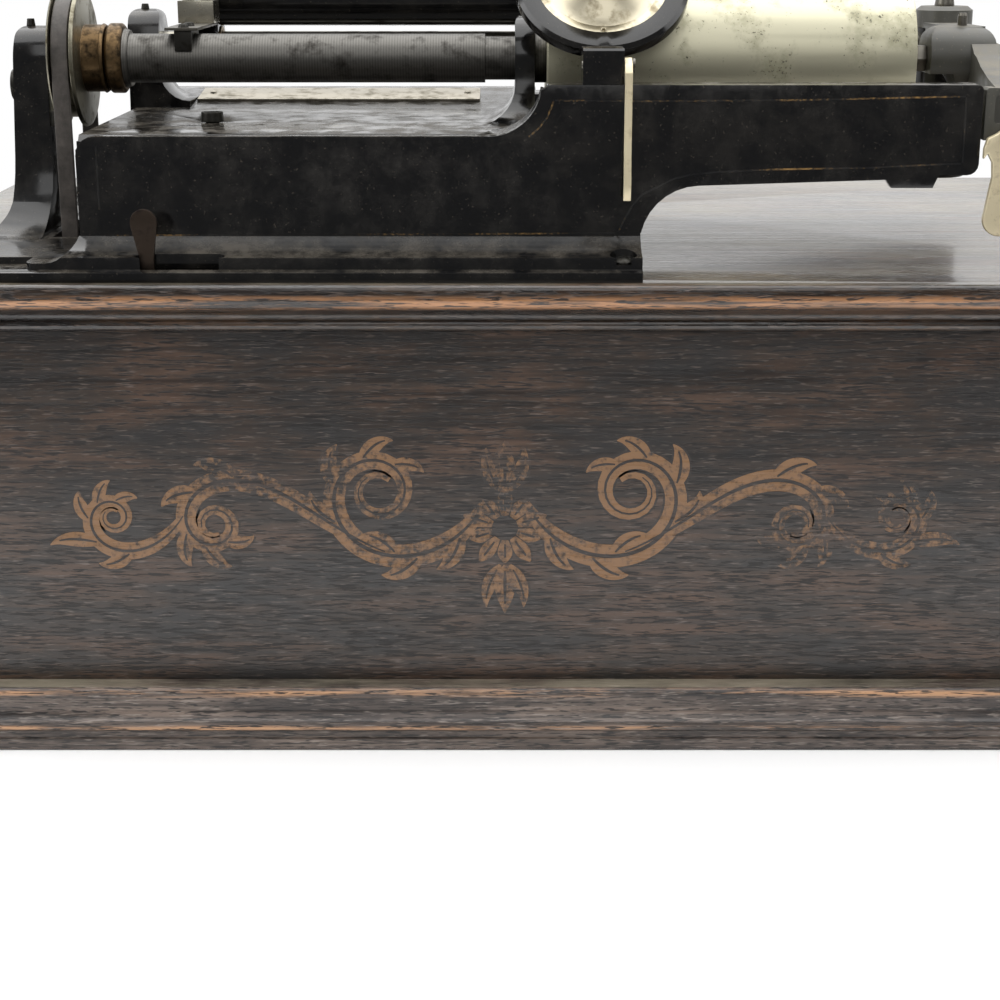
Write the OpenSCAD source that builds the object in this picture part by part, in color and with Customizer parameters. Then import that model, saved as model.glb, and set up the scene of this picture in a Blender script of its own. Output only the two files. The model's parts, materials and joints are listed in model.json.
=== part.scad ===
// Table phonograph for wax cylinders: an oak case, a cast bed, and a belt driven feed screw and mandrel.
// Origin at the middle of the case footprint, on its underside. +X to the right, +Y to the back, +Z up.

/* [Case] */
// Width of the cap moulding, left to right
case_w = 406.4; // [396:0.2:416]
// Depth of the cap moulding, front to back
case_d = 236; // [232:1:244]
// Height of the top board above the table
case_h = 133; // [133:1:133]
// How far the panels stand in from the cap's edge
panel_in = 10; // [9:0.5:12]
// Thickness of the side boards
board_t = 12; // [9:1:14]
// Thickness of the moulded top board
cap_t = 14; // [12:1:16]
// Height of the base moulding
base_h = 17.8; // [17.4:0.2:18.6]

/* [Bed casting] */
// Left end of the box of the bed
box_left = -134.9; // [-136:0.1:-134]
// Right end of the box of the bed
box_right = -10; // [-11:0.5:-9]
// Front face of the box and of the front rail
box_front = -101; // [-102:0.5:-100]
// Back face of the box
box_back = 30; // [28:1:34]
// Height of the plateau above the table
plateau_z = 170; // [168:0.5:171]
// Thickness of the casting's walls
wall = 4; // [3:0.5:5]
// Height of the front rail's top edge
rail_z = 183.5; // [183:0.1:183.6]
// Right end of the front rail
rail_right = 106.8; // [105:0.2:107]

/* [Mandrel and feed screw] */
// Distance of the mandrel's axis in front of the case's middle
axis_y = -43; // [-44:0.5:-42]
// Height of the mandrel's axis
axis_z = 187; // [186.5:0.1:187.5]
// Length of the mandrel
mandrel_len = 104.5; // [104:0.5:106]
// Radius of the mandrel at its left, thick end
mandrel_r1 = 23.3; // [23:0.1:23.5]
// Radius of the mandrel at its right, thin end
mandrel_r2 = 21.1; // [20.9:0.1:21.3]
// Radius of the feed screw
screw_r = 7; // [6.8:0.1:7.2]
// Outer radius of both belt pulleys
pulley_r = 19.8; // [19:0.1:20.5]
// Radius of the belt's seat in the pulleys
groove_r = 16.9; // [16.5:0.1:17.2]

/* [Carriage] */
// Height of the fixed rod's axis, above the middle of the case
rod_z = 188; // [187.8:0.1:188.2]
// Radius of the fixed rod
rod_r = 4.75; // [4.5:0.05:5]
// Outer radius of the eye that holds the reproducer
eye_r = 24.1; // [23.5:0.1:24.5]
// Slope of the reproducer's face
eye_tilt = 47; // [46:0.5:48]
// Radius of the reproducer's body
reproducer_r = 17.5; // [17:0.1:17.8]

/* [Motor] */
// Height of the motor pulley's axis
motor_z = 58; // [57:0.5:60]
// Teeth on the spring barrel
barrel_teeth = 96; // [96:1:96]
// Teeth on the train wheel
train_teeth = 72; // [72:1:72]
// Teeth on the pulley arbor's wheel
governor_wheel_teeth = 60; // [60:1:60]
// Teeth on each driven pinion
pinion_teeth = 12; // [12:1:12]
// Radius of the spring barrel
barrel_r = 38; // [36:0.5:40]

/* [Crank] */
// Height of the crank's axis
crank_z = 80; // [79:0.5:81]
// Length of the crank arm between its centres
crank_len = 60; // [52:1:62]
// Length of the wooden handle
handle_len = 38; // [34:1:44]

/* [Hidden] */
$fn = 64;
eps = 0.01;
panel_w = case_w - 2 * panel_in - 0.4;
panel_d = case_d - 2 * panel_in;
cap_z = case_h - cap_t;
inner_w = panel_w - 2 * board_t;
inner_d = panel_d - 2 * board_t;
barrel_y = 32;
barrel_z = 60;
winding_teeth = 60;
crank_teeth = 20;
winding_centres = (winding_teeth + crank_teeth) / 2;
crank_y = barrel_y - sqrt(pow(winding_centres, 2) - pow(crank_z - barrel_z, 2));
black = "#1b1a19";
nickel = "#b9b6a8";
brass = "#8a7347";
steel = "#6e6c66";
oak = "#4a3426";
pine = "#a88a5e";

// Points along an arc, from angle a0 to a1
function arc(cx, cy, r, a0, a1, n = 8) =
    [for (i = [0:n]) let (a = a0 + (a1 - a0) * i / n) [cx + r * cos(a), cy + r * sin(a)]];

// A box between two corners
module box(x0, x1, y0, y1, z0, z1) translate([x0, y0, z0]) cube([x1 - x0, y1 - y0, z1 - z0]);
// A round bar or cone along X
module bar(x0, x1, y, z, r, r2 = -1) translate([x0, y, z])
    rotate([0, 90, 0]) cylinder(h = x1 - x0, r1 = r, r2 = r2 < 0 ? r : r2);
// A flat shape drawn in Y and Z, made solid from x0 to x1
module plate_yz(x0, x1) translate([x0, 0, 0]) rotate([90, 0, 90]) linear_extrude(x1 - x0) children();
// A flat shape drawn in X and Z, made solid from y0 to y1
module plate_xz(y0, y1) translate([0, y1, 0]) rotate([90, 0, 0]) linear_extrude(y1 - y0) children();
// A vertical round post
module post(x, y, z0, z1, r, r2 = -1) translate([x, y, z0])
    cylinder(h = z1 - z0, r1 = r, r2 = r2 < 0 ? r : r2);
// A slotted screw head, standing up
module screw_head(x, y, z, r, h) difference() {
    post(x, y, z, z + h, r, r * 0.8);
    box(x - r, x + r, y - 0.4, y + 0.4, z + h * 0.5, z + h + 1);
}
// A rectangular block with the same moulding along all four edges; each point is [inset, height]
module moulded(w, d, pts) {
    last = len(pts) - 1;
    intersection() {
        plate_yz(-w, w) polygon(concat([for (p = pts) [p[0] - d / 2, p[1]]],
            [for (i = [last:-1:0]) [d / 2 - pts[i][0], pts[i][1]]]));
        plate_xz(-d, d) polygon(concat([for (p = pts) [p[0] - w / 2, p[1]]],
            [for (i = [last:-1:0]) [w / 2 - pts[i][0], pts[i][1]]]));
    }
}

// Case
bed_hole = [-154, 8, -92, 22];
module top_board() color(oak) difference() {
    moulded(case_w, case_d, concat([[panel_in, cap_z]], arc(6.6, cap_z + 2.3, 1.7, -90, -240, 6),
        [[5.6, cap_z + 5], [3.6, cap_z + 5.8]], arc(3.4, case_h - 4.1, 3.4, 255, 180, 5),
        arc(1.6, case_h - 1.6, 1.6, 180, 90, 4)));
    box(bed_hole[0], bed_hole[1], bed_hole[2], bed_hole[3], cap_z - 1, case_h + 1);
    for (p = bolts) post(p[0], p[1], case_h - bolt_depth - 0.5, case_h + 1, 2.06);
}
module case_front() color(oak)
    box(-panel_w / 2, panel_w / 2, -panel_d / 2, -panel_d / 2 + board_t, 0, cap_z);
module case_back() color(oak)
    box(-panel_w / 2, panel_w / 2, panel_d / 2 - board_t, panel_d / 2, 0, cap_z);
module case_left() color(oak)
    box(-panel_w / 2, -panel_w / 2 + board_t, -inner_d / 2, inner_d / 2, 0, cap_z);
module case_right() color(oak) difference() {
    box(panel_w / 2 - board_t, panel_w / 2, -inner_d / 2, inner_d / 2, 0, cap_z);
    bar(panel_w / 2 - board_t - 1, panel_w / 2 + 1, crank_y, crank_z, 7);
}
module base_moulding() color(oak) difference() {
    moulded(case_w, case_d, concat([[0.8, 0], [0.8, 3.1], [1.5, 3.6], [1.5, 5.4], [0.4, 6], [0, 6.4], [0, 7.2]],
        arc(-1.6, base_h - 5.8, 4.7, -68, 8, 7), arc(5.2, base_h - 2.2, 2.2, 180, 90, 6),
        [[panel_in, base_h]]));
    box(-panel_w / 2, panel_w / 2, -panel_d / 2, panel_d / 2, -1, base_h + 1);
    for (sx = [-1, 1]) for (sy = [-1, 1])
        translate([sx * panel_w / 2, sy * panel_d / 2, base_h / 2])
            rotate([0, 0, sx * sy * 45]) cube([40, mitre_gap, base_h + 4], center = true);
}
mitre_gap = 0.16;
bottom_t = 6;
module bottom_board() color(pine)
    box(-inner_w / 2, inner_w / 2, -inner_d / 2, inner_d / 2, 0, bottom_t);
module glue_blocks() color(pine) for (sx = [-1, 1]) for (sy = [-1, 1])
    translate([sx * inner_w / 2, sy * inner_d / 2, bottom_t])
        linear_extrude(cap_z - bottom_t) polygon([[0, 0], [-sx * 20, 0], [0, -sy * 20]]);

// Bed casting
foot_left = -172;
foot_right = 16.6;
foot_front = -114;
foot_back = 42;
skirt_z = 143.2;
foot_step_z = 136.2;
foot_z = foot_step_z + 1.6;
post_r = 8.8;
gate_x = 117.5;
beam_z = [148, 174];
left_bore = 2.6;
start_x = -106;
start_y = -70;
start_slot = [-118.5, -94.7];
bolt_depth = 9;
bolts = [[11.6, -109, 137.4], [11.6, 36, 137.4], [-165, -105, foot_step_z - 0.3], [-165, 36, foot_z]];
// Front outline of the wall: box, sweep up to the rail, rail and gooseneck
module front_outline() polygon(concat([[box_left, foot_step_z], [foot_right, foot_step_z]],
    [[foot_right, 144.4]], arc(32.4, 141, 16, 168, 92, 7),
    [[rail_right - 24.5, 158.6], [rail_right - 23, 156.4], [rail_right - 12, 156.4],
        [rail_right - 10.5, 159.8]],
    arc(rail_right - 3, 162.8, 3, -90, 0, 4),
    arc(rail_right - 1.5, rail_z - 1.5, 1.5, 0, 90, 3), [[-8.4, rail_z], [-9.4, rail_z - 0.8]],
    arc(-24.4, plateau_z + 14.2, 14.2, -8, -90, 9), arc(box_left + 5, plateau_z - 5, 5, 90, 180, 5)));
// Cross-section of the skirt that spreads the box out to its foot, front and back
skirt_r = 16.4;
module skirt_outline() polygon(concat(arc(foot_front + 2, 155.7, skirt_r, -48, -90, 8),
    [[foot_front + 2, foot_step_z], [foot_front, foot_step_z - 0.6], [foot_front, case_h]],
    [[foot_back, case_h], [foot_back, foot_step_z - 0.6], [foot_back - 2, foot_step_z]],
    arc(foot_back - 2, 155.7, skirt_r, 270, 228, 8)));
// Everything above the foot to the left of the box, with a fillet against the box
module left_clearance() plate_xz(foot_front - 1, foot_back + 1) polygon(concat([[foot_left - 1, foot_z]],
    arc(box_left - 7.8, foot_z + 7.8, 7.8, -90, 0, 7), [[box_left, 200], [foot_left - 1, 200]]));
// Bearing pillar on the left: rounded shoulders, and a foot that flares both ways
module pillar() intersection() {
    plate_xz(-100, 40) polygon(concat([[-171.2, 135]], arc(-175, 148.5, 11.1, -70, 0, 7),
        arc(-158.9, 193.6, 2.8, 180, 90, 5), arc(-154, 194.9, 1.5, 90, 0, 3),
        [[-152.5, 150], [-153.6, 135]]));
    plate_yz(-180, -150) polygon(concat([[axis_y - 31, 135]], arc(axis_y - 31.3, 159, 22, -90, 0, 8),
        arc(axis_y, axis_z, 9.3, 180, 0, 16), arc(axis_y + 31.3, 159, 22, 180, 270, 8),
        [[axis_y + 31, 135]]));
}
// Post at the back left, for the fixed rod, with a rib that runs out to its right
rod_post_x = [-136.9, -127.3];
module rod_post() intersection() {
    plate_xz(-20, 20) polygon(concat([[rod_post_x[0], plateau_z - 20]],
        arc(rod_post_x[0] + 2.6, rod_z + 9, 2.6, 180, 90, 5),
        arc(rod_post_x[1] - 2.6, rod_z + 9, 2.6, 90, 0, 5),
        arc(rod_post_x[1] + 9, plateau_z + 11, 9, 180, 270, 6), [[rod_post_x[1] + 9, plateau_z - 2]],
        [[box_left + wall, plateau_z - 2], [box_left + wall, plateau_z - 20]]));
    plate_yz(-140, -110) polygon(concat([[-12, plateau_z - 20]], arc(0, rod_z + 2.6, 9, 180, 0, 14),
        [[12, plateau_z - 20]]));
}
// Middle bearing, swept into the plateau on its left
middle_x = [-17.1, -11.4];
module middle_bearing() intersection() {
    plate_xz(-90, 10) polygon(concat([[-28, plateau_z - 2.5]], arc(-27.1, plateau_z + 10, 10, -90, 0, 7),
        arc(middle_x[0] + 2, axis_z + 10.2, 2, 180, 90, 4), arc(middle_x[1] - 1, axis_z + 11.2, 1, 90, 0, 3),
        [[middle_x[1], plateau_z - 2.5]]));
    plate_yz(-30, -10) polygon(concat([[axis_y - 26, plateau_z - 2.5]],
        arc(axis_y - 26, plateau_z + 14, 14, -90, 0, 7),
        arc(axis_y, axis_z, 12.2, 180, 0, 16), arc(axis_y + 26, plateau_z + 14, 14, 180, 270, 7),
        [[axis_y + 26, plateau_z - 2.5]]));
}
// Thick sweep behind the front wall, from the plateau up to the rail
module sweep_block() difference() {
    plate_xz(box_front + 1, box_front + 38) polygon(concat([[-28, plateau_z - 3], [-9.6, plateau_z - 3]],
        [[-9.6, rail_z - 1.4]], arc(-24.4, plateau_z + 14.2, 14.2, -8, -90, 8), [[-28, plateau_z]]));
    bar(-40, 0, box_front + 42, plateau_z + 23, 32);
}
module bedplate() color(black) difference() {
    union() {
        // Box with its shelf behind
        difference() {
            plate_yz(box_left, box_right) polygon([[box_front + 0.5, foot_step_z],
                [box_front + 0.5, plateau_z - 3.5],
                [box_front + 2.5, plateau_z - 3.5], [box_front + 2.5, plateau_z - 1.5],
                [box_front + 4.5, plateau_z - 1.5], [box_front + 6, plateau_z], [-8, plateau_z],
                [22, plateau_z + 3.6], [box_back, plateau_z + 3.6], [box_back, foot_step_z]]);
            box(box_left + wall, box_right - wall, box_front + wall, box_back - wall, 0, plateau_z - wall);
        }
        // Front wall, rail and gooseneck
        plate_xz(box_front, box_front + wall) front_outline();
        plate_xz(box_front + wall - eps, box_front + 10)
            polygon([[-9, rail_z - 4], [rail_right - 1, rail_z - 4],
                [rail_right - 1, rail_z], [-8.6, rail_z]]);
        sweep_block();
        // Foot flange, open over the motor
        difference() {
            plate_yz(foot_left, foot_right) skirt_outline();
            box(box_left + wall, box_right - wall, box_front + wall, box_back - wall, 0, 200);
            box(box_right, foot_right - 3, box_front + wall, box_back - wall + 8, foot_step_z, 200);
            left_clearance();
            difference() {
                box(foot_left - 1, -144, foot_front - 1, foot_front + 13, foot_step_z - 0.3, 200);
                post(-144, foot_front + 6, case_h, 210, 4);
                box(-148, -140, foot_front + 6, foot_front + 14, case_h, 210);
            }
        }
        pillar();
        rod_post();
        middle_bearing();
        // Rear beam and right post
        box(box_right - 6, gate_x, -9, 9, beam_z[0], beam_z[1]);
        post(gate_x, 0, beam_z[0], beam_z[1], 9);
        post(gate_x, 0, beam_z[1] - eps, 193.9, post_r);
        // Lugs that the motor hangs from
        for (x = [-126, -29.5])
            box(x, x + 5.5, box_front + wall - 1, box_back - wall + 1, plateau_z - 24, plateau_z - 1);
    }
    // Bores for the rod, the shaft, the screws and the pins
    bar(-142, 113.2, 0, rod_z, rod_r);
    bar(-18, -9, axis_y, axis_z, 6.25);
    bar(-166, -150, axis_y, axis_z, left_bore);
    post(post_screw_x, 0, rod_z, 201, 1.2);
    post(pillar_screw_x, axis_y, axis_z, 198, 1.2);
    post(gate_x, 0, 180, 195, 2);
    post(-104, -60, plateau_z - 6, plateau_z + 1, 2);
    // Way for the belt
    box(-151, -140, axis_y - 22, axis_y + 22, case_h - 1, plateau_z - 30);
    box(-152.4, -139, axis_y - 22, axis_y + 22, foot_z, plateau_z + 5);
    // Pocket and slot for the start lever
    translate([0, 0, case_h - 1]) linear_extrude(3.8)
        polygon([[start_x - 6, start_y + 12], [start_slot[0] - 1.5, foot_front + 1.8],
            [start_slot[1] + 1.5, foot_front + 1.8], [start_x + 7, start_y + 12]]);
    box(start_slot[0] + 2, start_slot[1] - 2, spoon_y - 2.5, spoon_y + 1.5, case_h - 1, skirt_z + 3);
    for (x = [start_slot[0] + 2, start_slot[1] - 2]) post(x, spoon_y - 0.5, case_h - 1, skirt_z + 3, 2);
    // Holes and seats for the bolts
    for (p = bolts) {
        post(p[0], p[1], case_h - 1, p[2] + 2, 2.1);
        post(p[0], p[1], p[2], p[2] + 12, 3.6);
    }
}
module bed_bolts() color(steel) for (p = bolts) {
    post(p[0], p[1], case_h - bolt_depth, p[2] + 0.6, 2.05);
    difference() {
        translate([p[0], p[1], p[2]]) intersection() {
            translate([0, 0, -1.2]) sphere(r = 3.2);
            cylinder(h = 4, r = 2.7);
        }
        box(p[0] - 3, p[0] + 3, p[1] - 0.4, p[1] + 0.4, p[2] + 1.2, p[2] + 4);
    }
}
post_screw_x = -132.6;
pillar_screw_x = -158.3;
module post_set_screws() color(steel) {
    screw_head(post_screw_x, 0, 199.5, 1.3, 1.6);
    post(post_screw_x, 0, rod_z + rod_r, 199.6, 1.18);
}
module left_centre_screw() color(steel) {
    bar(-162, -151.2, axis_y, axis_z, left_bore - 0.02);
    bar(-151.2, -148.6, axis_y, axis_z, left_bore - 0.02, 0.5);
    plate_yz(-163.2, -161.7) circle_at(axis_y, axis_z + 0.2, 2.9, 6);
    plate_yz(-164.6, -162) circle_at(axis_y, axis_z - 7.6, 4.4, 64);
    screw_head(pillar_screw_x, axis_y, 196.2, 1.3, 2.1);
    post(pillar_screw_x, axis_y, axis_z + left_bore, 196.3, 1.18);
}
module circle_at(y, z, r, sides) translate([y, z]) circle(r = r, $fn = sides);
plate_seat = [-117.8, -28, 2, 20];
module data_plate() color(brass) {
    slope = atan(3.6 / 30);
    translate([0, -8, plateau_z]) rotate([slope, 0, 0]) {
        difference() {
            box(plate_seat[0], plate_seat[1], 9, 27, 0, 0.7);
            for (x = [plate_seat[0] + 4, plate_seat[1] - 4]) post(x, 18, -1, 2, 1);
        }
        for (x = [plate_seat[0] + 4, plate_seat[1] - 4]) post(x, 18, 0, 1.4, 1.6, 0.9);
    }
}
module back_rod() color(nickel) bar(-141.3, 113, 0, rod_z, rod_r);

// Belt and the parts that turn with the mandrel
belt_x = [-149, -144.2];
belt_t = 1.6;
module belt_loop(r) polygon(concat(arc(axis_y, axis_z, r, 0, 180, 40),
    arc(axis_y, motor_z, r, 180, 360, 40)));
module drive_belt() color("#3a2a20") plate_yz(belt_x[0], belt_x[1]) difference() {
    belt_loop(groove_r + 0.3 + belt_t);
    belt_loop(groove_r + 0.3);
}
// Flanged pulley with a flat seat for the belt; its two faces are hollowed between the rim and the hub
pulley_x = [-150.2, -142.5];
module belt_pulley(z, bore) translate([0, axis_y, z]) rotate([0, 90, 0]) difference() {
    rotate_extrude($fn = 96) polygon([[bore, pulley_x[0]], [pulley_r - 0.6, pulley_x[0]], [pulley_r, -149.6],
        [groove_r, -149.3], [groove_r, -143.9], [pulley_r, -143.6],
        [pulley_r - 0.6, pulley_x[1]], [bore, pulley_x[1]]]);
    translate([0, 0, pulley_x[0] - 0.1]) difference() {
        cylinder(r = pulley_r - 4.6, h = 1.4);
        translate([0, 0, -1]) cylinder(r = bore + 3.6, h = 4);
    }
}
mandrel_x = [-8, -8 + mandrel_len];
cone_depth = 2.6;
module feed_screw_shaft() color(steel) difference() {
    union() {
        bar(-150, -136, axis_y, axis_z, 5);
        bar(-136, -131, axis_y, axis_z, 6);
        bar(-131, -129.4, axis_y, axis_z, 8.5, 8);
        bar(-129.4, -25.8, axis_y, axis_z, screw_r);
        bar(-25.8, -11.3, axis_y, axis_z, 6.2);
        bar(-11.3, mandrel_x[0], axis_y, axis_z, 7);
        bar(mandrel_x[0], mandrel_x[1] - 1, axis_y, axis_z, 5);
    }
    bar(-150 - eps, -150 + cone_depth, axis_y, axis_z, cone_depth, 0.1);
    bar(mandrel_x[1] - 1 - cone_depth, mandrel_x[1] - 1 + eps, axis_y, axis_z, 0.1, cone_depth);
}
module mandrel() color(nickel) difference() {
    bar(mandrel_x[0], mandrel_x[1], axis_y, axis_z, mandrel_r1, mandrel_r2);
    bar(mandrel_x[0] + 3, mandrel_x[1] - 3, axis_y, axis_z, mandrel_r1 - 2.5, mandrel_r2 - 2.5);
    bar(mandrel_x[0] - 1, mandrel_x[1] + 1, axis_y, axis_z, 5);
    bar(mandrel_x[1] - 1.2, mandrel_x[1] + 1, axis_y, axis_z, mandrel_r2 - 2);
}
module mandrel_pulley() color(brass) {
    belt_pulley(axis_z, 5);
    difference() {
        union() {
            bar(pulley_x[1] - eps, -137.2, axis_y, axis_z, 9.6);
            bar(-137.2, -136.2, axis_y, axis_z, 10, 9.4);
        }
        bar(-143, -136, axis_y, axis_z, 5);
    }
}
module thrust_collar() color(brass) difference() {
    union() {
        bar(-135.8, -135, axis_y, axis_z, 9.2, 10);
        bar(-135, -131.7, axis_y, axis_z, 10);
        bar(-131.7, -131, axis_y, axis_z, 10, 9.2);
    }
    bar(-136, -130, axis_y, axis_z, 6);
}

// Carriage: two bushes slide on the rod, and the arm tips on them
lug_x = [-116, -109];
lug2_x = [15, 22];
bush_r = 6.3;
eye_reach = 37;
eye_drop = 3.3;
eye_c = [6.8, axis_y - eye_reach * sin(eye_tilt) - eye_drop * cos(eye_tilt),
    axis_z + eye_reach * cos(eye_tilt) - eye_drop * sin(eye_tilt)];
eye_t = 4;
seat_depth = 1.6;
module at_eye() translate(eye_c) rotate([eye_tilt, 0, 0]) children();
module rod_bushes() color(brass) for (x = [lug_x, lug2_x]) difference() {
    bar(x[0] - 0.4, x[1] + 0.4, 0, rod_z, bush_r);
    bar(x[0] - 1, x[1] + 1, 0, rod_z, rod_r + 0.05);
}
block_x = [0.6, 11.5];
tube_z = 202.4;
module carriage_arm() color(black) difference() {
    union() {
        bar(lug_x[0] + 2, lug2_x[1], 0, tube_z, 8);
        bar(lug_x[0], lug_x[0] + 2, 0, tube_z, 7, 8);
        for (x = [lug_x, lug2_x]) {
            bar(x[0], x[1], 0, rod_z, 9.2);
            box(x[0], x[1], -7.6, 7.6, rod_z, tube_z);
        }
        // Web from the tube over the mandrel to the eye
        plate_yz(-7, 20) polygon([[-6, tube_z + 2], [-30, 214.5], [-53.5, 221.5], [-57.5, 224.6],
            [-52, 228.6], [-30, 223], [-3, tube_z + 8]]);
        // Eye
        at_eye() translate([0, 0, -eye_t]) cylinder(h = eye_t - 1, r = eye_r);
        at_eye() translate([0, 0, -1.01]) cylinder(h = 1.01, r1 = eye_r, r2 = eye_r - 1);
        // Front block that rests on the rail
        plate_yz(block_x[0], block_x[1]) polygon([[box_front, rail_z + 0.1], [box_front, 192.3],
            [box_front + 0.6, 192.9], [-88, 192.9], [-85.6, 190.5], [-87, 187.5], [-91, rail_z + 0.1]]);
    }
    for (x = [lug_x, lug2_x]) bar(x[0] - 1, x[1] + 1, 0, rod_z, bush_r + 0.05);
    at_eye() translate([0, 0, -eye_t - 3]) cylinder(h = 20, r = reproducer_r + 0.1);
    at_eye() translate([0, 0, -seat_depth]) cylinder(h = 3, r = reproducer_r + 0.9);
    bar(block_x[0] - 1, block_x[1] + 1, lift_y, lift_z, 1.3);
}
lift_y = -98.6;
lift_z = 188.4;
lever_x = [11.6, 13.6];
lever_y = [-104.2, -102.8];
heel_len = 9.8;
// Hanging lever beside the front block; its heel comes down to the rail when it is swung forward
module lift_lever() color(nickel) difference() {
    union() {
        bar(lever_x[0], lever_x[1], lift_y, lift_z, 2.1);
        plate_yz(lever_x[0], lever_x[1]) polygon([[lift_y, lift_z + 2.1], [lever_y[0] + 1.6, lift_z + 0.6],
            [lever_y[0], lift_z - 1.6], [lever_y[0], 166], [lever_y[0] - 1.6, 158], [lever_y[0] - 0.6, 153.4],
            [lever_y[1] - 0.4, 153.6], [lever_y[1] - 1, 158], [lever_y[1], 166], [lever_y[1], rail_z + 2],
            [lift_y, lift_z - 2.1]]);
        plate_yz(lever_x[0], lever_x[1]) polygon([[lift_y, lift_z - 1.6], [lift_y + heel_len, lift_z - 0.6],
            [lift_y + heel_len, lift_z + 0.6], [lift_y, lift_z + 1.6]]);
    }
    bar(lever_x[0] - 1, lever_x[1] + 1, lift_y, lift_z, 1.25);
}
module lift_lever_pin() color(steel) {
    bar(block_x[0] - 0.3, lever_x[1] + 0.1, lift_y, lift_z, 1.2);
    bar(lever_x[1] + 0.06, lever_x[1] + 0.9, lift_y, lift_z, 1.9);
}
// Feed nut on its flat spring
spring_x = [-118, -108.5];
module feed_nut_spring() color(steel) difference() {
    box(spring_x[0], spring_x[1], -51.5, -9, 195.2, 196);
    for (x = [-116, -110.5]) post(x, -18, 194, 198, 1.05);
    for (y = rivet_y) post(-113, y, 194, 198, 0.8);
}
rivet_y = [-48.5, -38];
module spring_clamp() color(nickel) difference() {
    box(-119, -108.2, -21, -8.4, 196, 202.6);
    for (x = [-116, -110.5]) post(x, -18, 190, 210, 1.05);
    bar(-120, -100, 0, tube_z, 8);
}
module clamp_screws() color(steel) for (x = [-116, -110.5]) {
    screw_head(x, -18, 202.6, 2, 1.5);
    post(x, -18, 195.2, 202.7, 1);
}
module feed_nut() color(brass) difference() {
    union() {
        box(-115.5, -110.6, -50.5, -36, 189.5, 195.2);
        for (y = rivet_y) {
            post(-113, y, 196, 197, 1.6, 1.2);
            post(-113, y, 195.2 - eps, 196 + eps, 0.8);
        }
    }
    bar(-120, -100, axis_y, axis_z, screw_r + 0.12);
}
// Reproducer, held in the eye
module reproducer_body() color(nickel) at_eye() difference() {
    rotate_extrude() polygon([[6.3, 15], [horn_r, 15], [horn_r, 1.2], [9.4, 0.5], [12.5, -0.5], [15.2, -1.5],
        [15.7, -1.5], [15.9, -0.5], [reproducer_r + 0.8, -0.5], [reproducer_r + 0.8, -seat_depth],
        [reproducer_r, -seat_depth], [reproducer_r, -8], [15.5, -8], [15.5, -4.8], [6.3, -4.8]]);
    translate([0, -17.1, -1.3]) cylinder(h = 3, r = 0.5);
}
horn_r = 7.94;
module reproducer_diaphragm() color(brass) at_eye() translate([0, 0, -6]) cylinder(h = 0.6, r = 15.4);
module reproducer_weight() color(nickel) at_eye() difference() {
    union() {
        translate([0, 0, -8.6]) intersection() {
            cylinder(h = 1.4, r = 14.6);
            translate([-16, -16, 0]) cube([32, 27, 2]);
        }
        translate([-2, 9, -8.6]) cube([4, 5.4, 1.4]);
    }
    translate([0, eye_drop, -12]) cylinder(h = 8, r = 4);
}
module stylus_bar() color(steel) at_eye() translate([0, eye_drop, 0]) {
    translate([-0.8, -8, -9.1]) cube([1.6, 10, 0.5]);
    translate([0, 0, -9.5]) cylinder(h = 0.6, r1 = 0.3, r2 = 0.8, $fn = 24);
    translate([0, 0, -8.7]) cylinder(h = 2.6, r = 0.5, $fn = 24);
}

// Gate: the arm that holds the mandrel's free end and swings out on the rear post
gate_front = -100.5;
latch_pivot = [114.6, 169.6];
gate_bore = 2.55;
gate_screw_x = 113.4;
module gate_arm() color(black) difference() {
    union() {
        post(gate_x, 0, 194, 199.2, post_r);
        post(gate_x, 0, 199.2 - eps, 200.4, post_r, post_r - 1.6);
        // Bearing block with rounded shoulders
        intersection() {
            plate_xz(-60, -30) polygon(concat([[103, 183]], arc(107.5, 191.9, 4.5, 180, 90, 6),
                arc(116.8, 191.4, 5, 90, 0, 6), [[122.8, 183], [121.4, 178], [112, 178], [110, 183]]));
            bar(100, 125, axis_y, axis_z, 9.4);
        }
        // Neck from the hub on the rear post to the block
        plate_yz(110, 121) polygon([[-4, 194], [-9.3, 194], [-9.3, 189], [-38, 181.6],
            [-40, 195.9], [-4, 195.6]]);
        // Web that comes forward and down to the bracket
        intersection() {
            plate_yz(105, 125) polygon([[axis_y, 192], [-52, 191.4], [-56, 189], [-70, 186.2], [-92, 183.6],
                [gate_front + 1.4, 182.7], [gate_front + 1, 176], [-86, 176.4],
                [-60, 179.4], [axis_y - 4, 178.4]]);
            translate([0, 0, 150]) linear_extrude(60) polygon([[114.8, -42], [114.2, -60],
                [111, -88], [110, -104], [122, -104], [122.6, -42]]);
        }
        // Bracket over the end of the rail
        plate_xz(gate_front, -94) polygon(concat([[107.7, 169], [107.7, 182.1], [108.3, 182.7]],
            arc(119.6, 179.3, 3.4, 90, 0, 4), arc(119.6, 172.4, 3.4, 0, -90, 4)));
    }
    plate_xz(gate_front - 1, gate_front + 1.8) polygon([[110.2, 174], [110.2, 180.2], [111.6, 181.5],
        [119.6, 181.5], [121.4, 180], [121.4, 175], [119.8, 173.4], [111, 173.4]]);
    post(gate_x, 0, 190, 210, 2.05);
    bar(100, 130, axis_y, axis_z, gate_bore);
    post(gate_screw_x, axis_y, axis_z, 200, 1.45);
    plate_xz(gate_front - 1, -96) translate(latch_pivot) circle(r = 1.55);
}
module gate_hinge_screw() color(steel) {
    screw_head(gate_x, 0, 200.5, 3.1, 3.6);
    post(gate_x, 0, 184, 200.6, 1.98);
}
module gate_centre_screw() color(steel) {
    bar(mandrel_x[1] - 0.85, 123.6, axis_y, axis_z, gate_bore - 0.05);
    bar(mandrel_x[1] - 3.3, mandrel_x[1] - 0.84, axis_y, axis_z, 0.2, gate_bore - 0.05);
    bar(122.9, 127, axis_y, axis_z, 4);
}
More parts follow.
